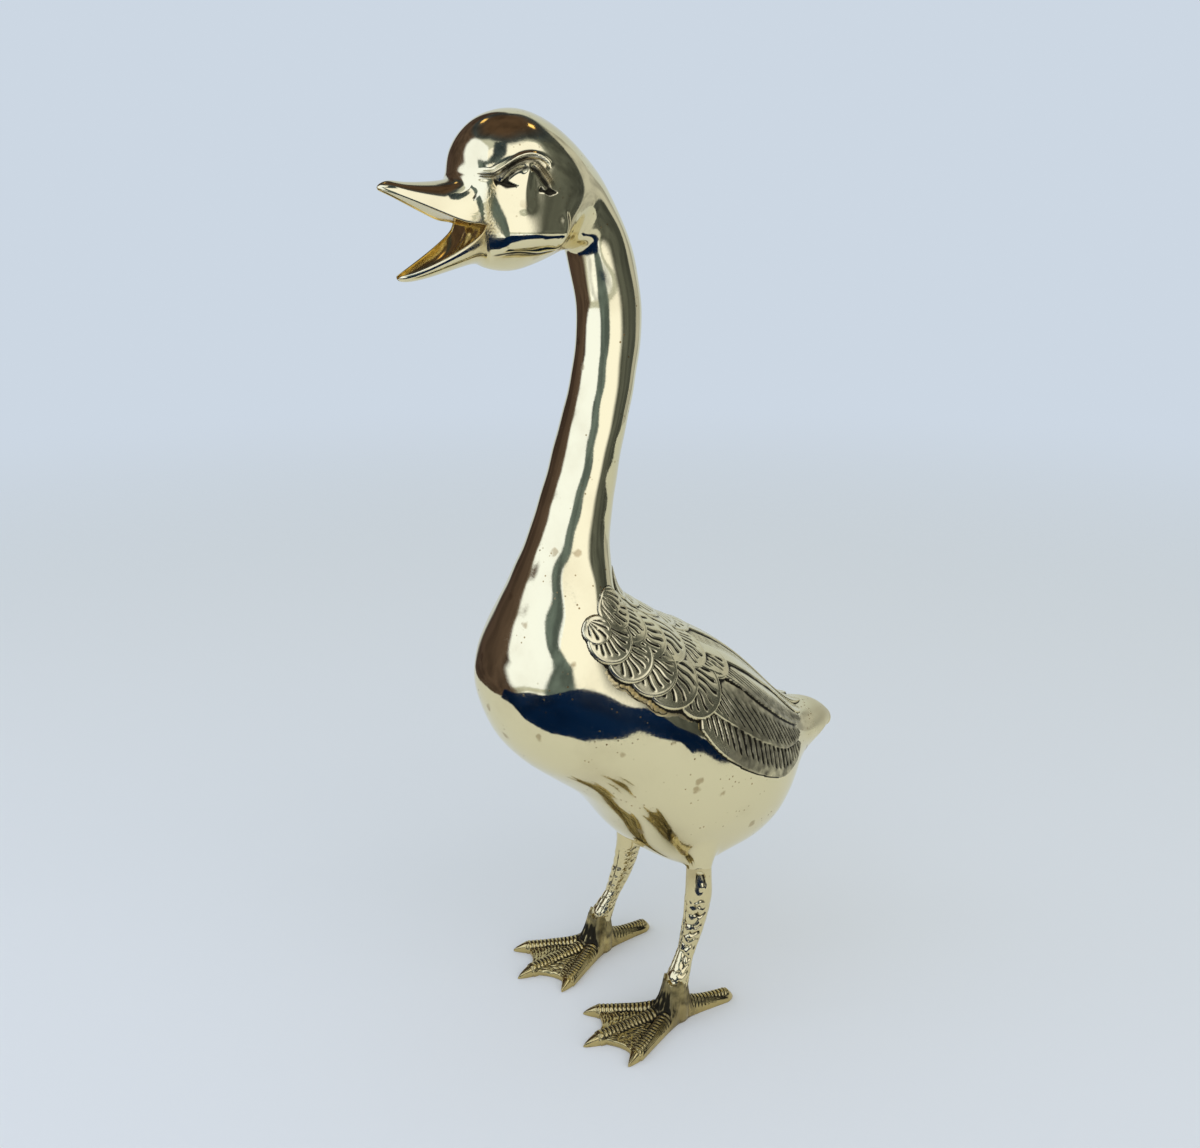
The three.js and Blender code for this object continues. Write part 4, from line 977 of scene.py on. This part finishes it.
# The bean-shaped dent at the hock: degrees from the front and height of its middle
HOCK_DENT = (62, 93)
DENT_HALF_WIDTH, DENT_HALF_HEIGHT, DENT_SLOPE = 4.2, 8.6, 0.15
SHANK_TOP = (76, 83)
SCALE_TURN = 42
LEG_BUMP, LEG_GRAIN = (6.4, 5.8), (1.7, 1.5)
# Heights of the cuts across the shank, and the arcs that they run along in degrees
LEG_CUTS = (80.0, 74.5, 69.0, 63.5, 58.5, 53.5, 48.5, 43.5, 38.5, 33.5)
LEG_CUT_ARCS = ((20, 122), (140, 205), (-150, -60))
LEG_CUT_DEPTH, LEG_CUT_SPREAD = 0.6, 0.8
FACET_TURN, FACET_DEPTH, FACET_SPREAD = -8, 0.8, 0.7
LEG_PATINA_DEPTH, LEG_PATINA_WINDOW = 0.8, 4
ROUGH_BRASS = (0.78, 0.66, 0.36, 1)


def leg_relief(turn, height, radius):
    """Chased relief of a leg in millimetres: turn in degrees from the front towards the outside."""
    girth = np.radians(turn) * radius
    apart = np.radians(turn - HOCK_DENT[0]) * radius
    rise = height - HOCK_DENT[1]
    bean = np.hypot((apart + 0.012 * rise ** 2) / DENT_HALF_WIDTH, rise / DENT_HALF_HEIGHT)
    relief = -DENT_SLOPE * (rise + DENT_HALF_HEIGHT) * (1 - ramp(bean, 0.82, 1.0))
    relief = relief + 0.2 * hump(bean - 1.15, 0.14)
    relief += 1.0 * np.exp(-((apart - 1.6) / 1.8) ** 2 - ((rise + 3.4) / 2.2) ** 2)
    on_shank = 1 - ramp(height, *SHANK_TOP)
    facing = hump((turn - SCALE_TURN + 180) % 360 - 180, 62)
    bumps = pebbled(girth / LEG_BUMP[0] + 0.3 * np.sin(height / 6), height / LEG_BUMP[1], 31) ** 0.7
    relief += on_shank * (0.35 + 0.95 * facing) * (bumps - 0.62)
    grain = pebbled(girth / LEG_GRAIN[0], height / LEG_GRAIN[1], 5)
    relief += on_shank * (0.08 + 0.25 * (1 - facing)) * (grain - 0.5)
    for number, level in enumerate(LEG_CUTS):
        for part, (low, high) in enumerate(LEG_CUT_ARCS):
            centre = (low + high) / 2 + 16 * (jitter(number, part) - 0.5)
            half = (high - low) / 2 * (0.5 + 0.5 * jitter(number, part + 5))
            wave = level + 2.4 * (jitter(number, part + 9) - 0.5)
            wave = wave + 0.9 * np.sin(np.radians(turn) * 7 + number)
            away = np.abs((turn - centre + 180) % 360 - 180)
            cut = hump(height - wave, LEG_CUT_SPREAD)
            relief -= LEG_CUT_DEPTH * cut * (1 - ramp(away, half - 14, half))
    facet = hump(np.radians(turn - FACET_TURN) * radius, FACET_SPREAD)
    relief -= FACET_DEPTH * facet * ramp(height, 30, 35) * (1 - ramp(height, 72, 80))
    return relief


leg_level = np.linspace(LEG_TOP, LEG_END, LEG_ROWS)
leg_heights, leg_radii, leg_backs = np.array(LEG_LINE).T


def eased(values):
    """Values of the leg line at each row, with their corners rounded."""
    return softened(np.interp(leg_level / MM, leg_heights, values), 25)


leg_radius = eased(leg_radii)
axis_y = eased(leg_backs) * MM
forward = np.clip((hip_axis.y - axis_y) / (hip_axis.y - axis_y[-1]), 0, 1)
axis_x = hip_axis.x + (ANKLE_X - hip_axis.x) * forward
leg_turn = np.linspace(-180, 180, LEG_COLUMNS, endpoint=False)
height_mm, turn_grid = np.meshgrid(leg_level / MM, leg_turn, indexing="ij")
leg_surface = leg_relief(turn_grid, height_mm, leg_radius[:, None])
leg_recess = np.clip((spread(leg_surface, LEG_PATINA_WINDOW) - leg_surface) / LEG_PATINA_DEPTH, 0, 1)
ring_radius = (leg_radius[:, None] + leg_surface) * MM
leg_rings = np.stack([
    axis_x[:, None] + ring_radius * np.sin(np.radians(turn_grid)),
    axis_y[:, None] - ring_radius * np.cos(np.radians(turn_grid)),
    height_mm * MM], -1)
leg_brass = brass(
    "leg_brass", ROUGH_BRASS, BROWN_TARNISH, clouding=0.4, spotting=0.5, polish=0.12, recess=True)
for side, right in SIDES:
    leg = closed_tube(f"leg_{side}", leg_rings, [leg_brass], right, recess=leg_recess)
    fit(leg, f"{side}_leg")

# Feet: solid antiqued brass castings with ringed toes, a lined web and smooth pointed claws; each is bored
# for the spigot of its leg, and its sole and lower edge are ground flat and bright.
FOOT_TURNS, FOOT_ROWS, SIDE_ROWS = 560, 112, 5
# Toes: degrees from the front towards the outside, length, half width at root and claw, and height
TOES = ((-33, 60.0, 5.6, 4.4, 8.6), (-3, 68.0, 5.8, 4.6, 9.0), (27, 61.0, 5.6, 4.4, 8.6),
        (176, 45.0, 5.4, 4.6, 9.2))
# The end of a toe: where it starts, its width and height there and how its outline closes, for the pointed
# claws in front and the blunt toe behind
CLAW, BLUNT_END = (0.85, 0.84, 6.8, 0.7), (0.88, 1.0, 8.0, 0.5)
BACK_TOE_LENGTH = 50
RING_STEP = 2.7
ROOT_FLARE = 3.4
TOE_SIDE = 1.8
COLLAR_RADIUS, COLLAR_LIP, COLLAR_SPREAD, COLLAR_TOP = 7.8, 1.8, 2.4, 28.0
WEB_LOW, WEB_REACH, WEB_DIP, WEB_LINE_STEP = 5.6, 0.87, 6.5, 2.3
EDGE_ROUND, SOLE_TUCK = 1.8, 0.5
BORE_LAP = 1.2
FOOT_PATINA, CLAW_BRIGHT, SIDE_SHADE, ANKLE_PATINA = 0.36, 0.3, 0.25, 0.45
FOOT_PATINA_DEPTH, FOOT_PATINA_WINDOW = 0.7, 4
ANTIQUE, SMOKED = (0.6, 0.475, 0.2, 1), (0.2, 0.145, 0.06, 1)


def toe_end(length):
    """The end of a toe, by its length."""
    return BLUNT_END if length < BACK_TOE_LENGTH else CLAW


def toe_half_width(along, length, root, tip):
    """Half width of a toe: a gentle taper, and then its end."""
    end_share, end_width, _, closing = toe_end(length)
    claw = length * end_share
    taper = root + (tip - root) * np.clip(along / claw, 0, 1)
    taper = taper + ROOT_FLARE * np.exp(-np.clip(along, 0, None) / 9)
    point = tip * end_width * np.clip((length - along) / (length - claw), 0, 1) ** closing
    width = np.where(along < claw, taper, point)
    return np.where((along < 0) | (along > length), 0, width)


def web_reach(turn):
    """How far the web runs out between the three front toes, with a hollow edge between each two."""
    reach = np.zeros(turn.shape)
    for (start, start_length, *_), (end, end_length, *_) in zip(TOES[:2], TOES[1:3]):
        share = (turn - start) / (end - start)
        line = WEB_REACH * (start_length + (end_length - start_length) * share)
        line = line - WEB_DIP * np.sin(np.pi * np.clip(share, 0, 1)) ** 0.8
        reach = np.where((share >= 0) & (share <= 1), line, reach)
    return reach


close_up = np.linspace(-180, 180, 7201)
crowd = 1 + sum(3.2 * hump((close_up - toe[0] + 180) % 360 - 180, 5.0) for toe in TOES)
crowd = np.concatenate([[0], np.cumsum((crowd[1:] + crowd[:-1]) / 2)])
foot_turn = np.interp(np.linspace(0, crowd[-1], FOOT_TURNS, endpoint=False), crowd, close_up)
probe = np.linspace(0, 74, 741)
turn_grid, probe_grid = np.meshgrid(foot_turn, probe, indexing="ij")
inside = probe_grid < np.maximum(web_reach(turn_grid), COLLAR_RADIUS + COLLAR_LIP)
for toe_turn, length, root, tip, _ in TOES:
    lean = np.radians(turn_grid - toe_turn)
    half = toe_half_width(probe_grid * np.cos(lean), length, root, tip)
    inside |= np.abs(probe_grid * np.sin(lean)) < half
outline = np.max(np.where(inside, probe_grid, 0), axis=1)


def foot_height(turn, reach):
    """Height of the top of a foot in millimetres."""
    edge = np.maximum(web_reach(turn), 1)
    stones = pebbled(np.radians(turn) * 14 + 0.4 * np.sin(reach / 3), (edge - reach) / WEB_LINE_STEP, 8)
    lines = np.abs(np.sin(np.pi * (edge - reach) / WEB_LINE_STEP + 1.2 * np.sin(np.radians(turn) * 9)))
    height = WEB_LOW + 0.9 * stones + 0.5 * lines - 0.9
    height -= 1.4 * ramp(reach / edge, 0.6, 1.0) + 2.4 * ramp(reach / edge, 1.0, 1.1)
    for number, (toe_turn, length, root, tip, top) in enumerate(TOES):
        lean = np.radians(turn - toe_turn)
        along, aside = reach * np.cos(lean), reach * np.sin(lean)
        half = np.maximum(toe_half_width(along, length, root, tip), 1e-6)
        share = np.abs(aside) / half
        end_share, _, end_top, _ = toe_end(length)
        claw = length * end_share
        crest = top - 1.2 * np.clip(along / claw, 0, 1) + 6 * np.exp(-np.clip(along - 8, 0, None) / 7)
        closing = np.clip((along - claw) / (length - claw), 0, 1)
        crest = np.where(along > claw, end_top * (1 - 0.766 * closing ** 1.2), crest)
        dome = TOE_SIDE + (crest - TOE_SIDE) * np.sqrt(np.clip(1 - share ** 2.4, 0, 1))
        ring_place = along / RING_STEP + 0.22 * share ** 2 + 0.2 * jitter(number, 4)
        ring = np.abs(np.sin(np.pi * ring_place)) ** 0.7
        ringed = ramp(along, 9, 14) * (1 - ramp(along, claw - 2.5, claw - 1.5)) * (1 - ramp(share, 0.9, 1.0))
        dome = dome - 1.0 * (1 - ring) * ringed
        dome = dome - 0.8 * hump(along - claw + 0.4, 0.6) * (1 - ramp(share, 0.9, 1.05))
        height = np.where(share < 1, np.maximum(height, dome), height)
    spread_out = COLLAR_SPREAD + 4.2 * hump(turn, 60)
    from_ankle = np.clip(reach - COLLAR_RADIUS, 0, None)
    collar = TOE_SIDE + (COLLAR_TOP - TOE_SIDE) * np.exp(-from_ankle / spread_out)
    collar += 1.3 * np.sin(np.radians(turn) * 5 + 1) * hump(reach - COLLAR_RADIUS - 1, 3.0)
    collar += 0.8 * np.sin(np.radians(turn) * 17 + 2 * np.sin(np.radians(turn) * 3)) * hump(reach - 11, 4.0)
    collar -= 0.9 * pebbled(np.radians(turn) * 5, reach / 2.4, 12) * ramp(reach, 9, 12)
    return np.maximum(height, collar)


share = np.linspace(0, 1, FOOT_ROWS)[:, None] ** 0.92
foot_reach = COLLAR_RADIUS - BORE_LAP + (outline - COLLAR_RADIUS + BORE_LAP) * share
top_height = foot_height(np.broadcast_to(foot_turn, foot_reach.shape), foot_reach)
from_outline = outline - foot_reach
rounded = np.sqrt(np.clip(1 - np.clip(1 - from_outline / EDGE_ROUND, 0, 1) ** 2, 0, 1))
foot_claws = (1 - ramp(from_outline, 9, 12)) * ramp(outline, 40, 48)
sunken = (spread(top_height, FOOT_PATINA_WINDOW) - top_height) / FOOT_PATINA_DEPTH
foot_recess = np.clip(FOOT_PATINA - CLAW_BRIGHT * foot_claws + sunken, 0, 1)
foot_recess *= ramp(from_outline, 0.3, 1.2)
foot_recess = np.maximum(foot_recess, ANKLE_PATINA * hump(foot_reach - COLLAR_RADIUS - 1, 7.0))
top_height = top_height - np.minimum(EDGE_ROUND, 0.5 * top_height) * (1 - rounded)
side_share = np.linspace(0, 1, SIDE_ROWS + 1)[1:, None]
side_height = top_height[-1] * (1 - side_share)
side_reach = outline - SOLE_TUCK * side_share ** 4
foot_reach = np.concatenate([foot_reach, side_reach])
foot_level = np.concatenate([top_height, side_height])
# The side walls of the feet are darkened evenly: painted shade.
foot_recess = np.concatenate([foot_recess, np.full(side_height.shape, SIDE_SHADE)])
foot_rings = np.stack([
    ankle_axis.x + foot_reach * np.sin(np.radians(foot_turn)) * MM,
    ankle_axis.y - foot_reach * np.cos(np.radians(foot_turn)) * MM,
    foot_level * MM], -1)
antique_brass = brass("antique_brass", ANTIQUE, SMOKED, clouding=0.5, spotting=0.6, polish=0.15, recess=True)
for side, right in SIDES:
    foot = closed_tube(f"foot_{side}", foot_rings, [antique_brass], right, recess=foot_recess)
    fit(foot, f"{side}_foot")

# Sleeves and pins: turned brass rings inside the two neck joints and cross pins through the leg tenons,
# left as they came off the lathe because they don't show.
raw_brass = brass("raw_brass", GOLDEN_RAW, BROWN_TARNISH, clouding=0.5, spotting=0.3, polish=0.34)
for hidden in ("neck_root_sleeve", "nape_sleeve", "left_hip_pin", "right_hip_pin"):
    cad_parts[hidden].data.materials.clear()
    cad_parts[hidden].data.materials.append(raw_brass)

# Stage: a pale floor that fades into a pale surround, two tall soft windows on the camera's side, and cards
# that only the polished metal sees, as around any mirror-bright object in a studio.
CAMERA_TURN, CAMERA_PITCH = math.radians(58), math.radians(17)
CAMERA_AIM = Vector((-0.0143, -0.0205, 0.2895))
CAMERA_REACH = 0.806
PALE_SURROUND = (0.605, 0.68, 0.77, 1)
PALE_FLOOR = (0.83, 0.81, 0.73, 1)
FLOOR_RADIUS, FLOOR_SIDES, FLOOR_FADE = 2.6, 64, (0.7, 2.4)
COOL_DAYLIGHT, WARM_DAYLIGHT = (0.51, 0.6, 0.98), (0.55, 0.55, 0.7)
CARD_CENTRE_Z = 0.3


def around(turn, reach, height):
    """A point round the goose: turn in degrees from the camera, towards the right of the picture."""
    angle = CAMERA_TURN + math.radians(turn)
    return Vector((math.sin(angle) * reach, -math.cos(angle) * reach, height))


def stage_mesh(name, points, faces, material):
    """A thing of the stage."""
    mesh = bpy.data.meshes.new(name)
    mesh.from_pydata([tuple(point) for point in points], [], faces)
    mesh.materials.append(material)
    thing = bpy.data.objects.new(name, mesh)
    bpy.context.scene.collection.objects.link(thing)
    return thing


def matt(name):
    """A stage material with no gloss."""
    material = bpy.data.materials.new(name)
    material.use_nodes = True
    shader = material.node_tree.nodes["Principled BSDF"]
    shader.inputs["Roughness"].default_value = 0.9
    shader.inputs["Specular IOR Level"].default_value = 0.0
    return material, material.node_tree, shader


floor_material, floor_tree, floor_shader = matt("pale_floor")
floor_shader.inputs["Base Color"].default_value = PALE_FLOOR
floor_reach = add_node(floor_tree, "ShaderNodeVectorMath", {0: object_place(floor_tree)}, operation="LENGTH")
floor_solid = stretched(floor_tree, floor_reach.outputs["Value"], *FLOOR_FADE, 1.0, 0.0)
floor_tree.links.new(floor_solid, floor_shader.inputs["Alpha"])
floor_steps = np.linspace(0, 2 * math.pi, FLOOR_SIDES, endpoint=False)
floor_ring = [(FLOOR_RADIUS * math.cos(step), FLOOR_RADIUS * math.sin(step), 0) for step in floor_steps]
stage_mesh("floor", floor_ring, [list(range(FLOOR_SIDES))], floor_material)

MOTTLE_SCALE, MOTTLE_SHARE = 3.0, 0.3


def card(name, first_color, second_color, points, shade, solid):
    """A card that only reflections show. Its points come in rows; shade leads from its first colour to its
    second, and solid fades it out towards its edges."""
    rows, columns = shade.shape
    material, tree, shader = matt(name)
    shader.inputs["Base Color"].default_value = (0, 0, 0, 1)
    shader.inputs["Emission Strength"].default_value = 1.0
    mottle = noise(tree, object_place(tree), MOTTLE_SCALE)
    level = stretched(tree, mottle, 0.3, 0.7, 1 - MOTTLE_SHARE, 1 + MOTTLE_SHARE)
    color = mixed(tree, mark(tree, "shade"), (*first_color, 1), (*second_color, 1))
    shown = add_node(tree, "ShaderNodeVectorMath", {0: color, "Scale": level}, operation="SCALE")
    tree.links.new(shown.outputs["Vector"], shader.inputs["Emission Color"])
    tree.links.new(mark(tree, "solid"), shader.inputs["Alpha"])
    thing = stage_mesh(name, points, grid_faces(rows, columns), material)
    mark_points(thing.data, {"shade": shade, "solid": solid})
    thing.visible_camera = False
    thing.visible_diffuse = False
    thing.visible_shadow = False


def standing_card(name, first_color, second_color, rows, fades, heights=None):
    """A curved card round the goose: a row gives its reach, height, left and right turn, and the fades say
    how much of the width is soft on each side. The shade runs across it, or up between heights."""
    across = np.linspace(0, 1, 25)
    points = [around(left + (right - left) * share, reach, height)
              for reach, height, left, right in rows for share in across]
    solid = ramp(across, 0, fades[0]) * (1 - ramp(across, 1 - fades[1], 1))
    shade = np.tile(across, (len(rows), 1))
    if heights:
        shade = np.repeat(ramp(np.array(rows)[:, 1:2], *heights), len(across), 1)
    card(name, first_color, second_color, points, shade, np.tile(solid, (len(rows), 1)))


BROWN, DEEP_BROWN, DIM_GREY = (0.05, 0.035, 0.033), (0.10, 0.074, 0.07), (0.45, 0.48, 0.52)
OLIVE, DARK_OLIVE = (0.13, 0.15, 0.16), (0.05, 0.06, 0.068)
GREY_GREEN, SLATE, NAVY = (0.12, 0.17, 0.21), (0.04, 0.06, 0.09), (0.002, 0.012, 0.06)
WALL_TOP = 2.8
standing_card("brown_wall", BROWN, DEEP_BROWN, (
    (0.75, 0.013, -150, -62), (1.34, 0.014, -150, -56), (1.42, 0.05, -150, -56), (1.42, 0.2, -150, -70),
    (1.42, 0.35, -150, -79), (1.42, 0.5, -150, -77), (1.42, 0.62, -150, -88), (1.42, 0.69, -150, -91),
    (1.42, 0.74, -149, -88), (1.42, 0.8, -148, -79), (1.42, 0.87, -148, -76), (1.42, 1.1, -158, -81),
    (1.42, 1.5, -163, -84), (1.42, 2.0, -170, -82), (1.42, WALL_TOP, -186, -68)), (0.06, 0.12))
standing_card("olive_wall", OLIVE, DARK_OLIVE, (
    (1.4, 0.0, 34, 110), (1.4, 0.7, 36, 110), (1.4, 1.0, 53, 110), (1.4, 1.4, 68, 114), (1.4, 2.0, 71, 126),
    (1.4, 2.4, 66, 136), (1.4, WALL_TOP, 56, 152)), (0.22, 0.05))
standing_card("dim_wall", DIM_GREY, DIM_GREY, ((1.5, 0.0, 107, 138), (1.5, WALL_TOP, 107, 138)), (0.1, 0.1))
standing_card("window_post", GREY_GREEN, SLATE, (
    (0.75, 0.013, -24, 0), (1.3, 0.014, -34, 10), (1.3, 0.2, -32, 9), (1.3, 0.55, -29, 3),
    (1.3, 0.72, -33, -6), (1.3, 0.9, -44, -13), (1.3, 1.05, -51, -21), (1.3, 1.16, -50, -23),
    (1.3, 1.3, -24, 8), (1.3, 1.66, -11, 22), (1.3, 2.3, -11, 27), (1.3, WALL_TOP, -10, 31)),
    (0.16, 0.16), (1.0, 1.6))
LIT_FLOOR = (1.0, 1.12, 1.45)
for label, left, right in (("left", -60, -20), ("right", -4, 44)):
    rows = ((0.72, 0.011, left, right), (1.4, 0.012, left, right))
    standing_card(f"{label}_lit_floor", LIT_FLOOR, LIT_FLOOR, rows, (0.12, 0.12))
NAVY_REACH, NAVY_LOW = 0.66, 0.012
navy_turns = np.linspace(-84, 90, 59)
navy_inner = np.interp(navy_turns, (-84, -70, -58, -32, -5, 20, 31, 54, 63, 79, 90),
                       (0.66, 0.55, 0.34, 0.27, 0.26, 0.38, 0.50, 0.58, 0.46, 0.60, 0.66))
navy_top = np.interp(navy_turns, (-84, -78, -55, -32, 6, 28, 43, 57, 79, 90),
                     (0.02, 0.15, 0.134, 0.104, 0.195, 0.20, 0.235, 0.15, 0.12, 0.03))
navy_points = [around(turn, reach, NAVY_LOW) for turn, reach in zip(navy_turns, navy_inner)]
navy_points += [around(turn, NAVY_REACH, NAVY_LOW) for turn in navy_turns]
navy_points += [around(turn, NAVY_REACH, top) for turn, top in zip(navy_turns, navy_top)]
navy_shape = (3, len(navy_turns))
card("navy_cloth", NAVY, NAVY, navy_points, np.zeros(navy_shape), np.ones(navy_shape))
CEILING_REACH, CEILING_SOFT, CEILING_BROWN = 1.6, 0.82, (0.075, 0.05, 0.04)
ceiling_turns = np.linspace(-180, 180, 49)
ceiling_shares = np.linspace(0, 1, 13)
ceiling_points = []
ceiling_leans = np.interp(ceiling_turns, (-180, -160, -128, -75, -31, 0, 31, 62, 74, 112, 156, 180),
                          (29, 34, 40, 35, 26, 29, 34, 34, 38, 42, 38, 29))
for share in ceiling_shares:
    for turn, lean in zip(ceiling_turns, np.radians(ceiling_leans) * share):
        height = CARD_CENTRE_Z + CEILING_REACH * math.cos(lean)
        ceiling_points.append(around(turn, CEILING_REACH * math.sin(lean), height))
ceiling_shade = np.repeat(ramp(ceiling_shares, 0.4, 0.95)[:, None], len(ceiling_turns), 1)
ceiling_solid = np.repeat(1 - ramp(ceiling_shares, CEILING_SOFT, 1)[:, None], len(ceiling_turns), 1)
card("ceiling", CEILING_BROWN, SLATE, ceiling_points, ceiling_shade, ceiling_solid)
LAMP_REACH, LAMP_CENTRE_Z, LAMP_GLOW = 1.2, 0.55, (1.6, 1.1, 0.45)
LAMP_HALF_TURN, LAMP_HALF_RISE = 11, 3
for label, turn, rise in (("left", -128, 60), ("right", 112, 62)):
    rows = []
    for tilt in (math.radians(rise - LAMP_HALF_RISE), math.radians(rise + LAMP_HALF_RISE)):
        reach, height = LAMP_REACH * math.cos(tilt), LAMP_CENTRE_Z + LAMP_REACH * math.sin(tilt)
        rows.append((reach, height, turn - LAMP_HALF_TURN, turn + LAMP_HALF_TURN))
    standing_card(f"{label}_lamp", LAMP_GLOW, LAMP_GLOW, rows, (0.4, 0.4))


def window(name, turns, reach, heights, daylight):
    """A tall, upright, soft panel of daylight that faces the goose."""
    lamp = bpy.data.lights.new(name, "AREA")
    lamp.shape = "RECTANGLE"
    lamp.size = 2 * reach * math.tan(math.radians(turns[1] - turns[0]) / 2)
    lamp.size_y = heights[1] - heights[0]
    level = max(daylight)
    lamp.color = [part / level for part in daylight]
    lamp.energy = level * math.pi * lamp.size * lamp.size_y
    panel = bpy.data.objects.new(name, lamp)
    panel.location = around(sum(turns) / 2, reach, sum(heights) / 2)
    facing = Vector((panel.location.x, panel.location.y, 0))
    panel.rotation_euler = facing.to_track_quat("Z", "Y").to_euler()
    bpy.context.scene.collection.objects.link(panel)


WINDOW_REACH, WINDOW_HEIGHTS = 1.45, (0.12, 2.75)
window("left_window", (-95, -20), WINDOW_REACH, WINDOW_HEIGHTS, COOL_DAYLIGHT)
window("right_window", (-20, 75), WINDOW_REACH, WINDOW_HEIGHTS, WARM_DAYLIGHT)

world = bpy.data.worlds.new("studio")
bpy.context.scene.world = world
world.use_nodes = True
world.node_tree.nodes["Background"].inputs["Color"].default_value = PALE_SURROUND
world.node_tree.nodes["Background"].inputs["Strength"].default_value = 1.0

camera = bpy.data.objects.new("camera", bpy.data.cameras.new("camera"))
camera.data.lens = 39.0
camera.data.sensor_width = 36.0
camera_back = Vector((math.sin(CAMERA_TURN) * math.cos(CAMERA_PITCH),
                      -math.cos(CAMERA_TURN) * math.cos(CAMERA_PITCH), math.sin(CAMERA_PITCH)))
camera.location = CAMERA_AIM + camera_back * CAMERA_REACH
camera.rotation_euler = camera_back.to_track_quat("Z", "Y").to_euler()
bpy.context.scene.collection.objects.link(camera)
bpy.context.scene.camera = camera
bpy.context.scene.view_settings.view_transform = "Standard"
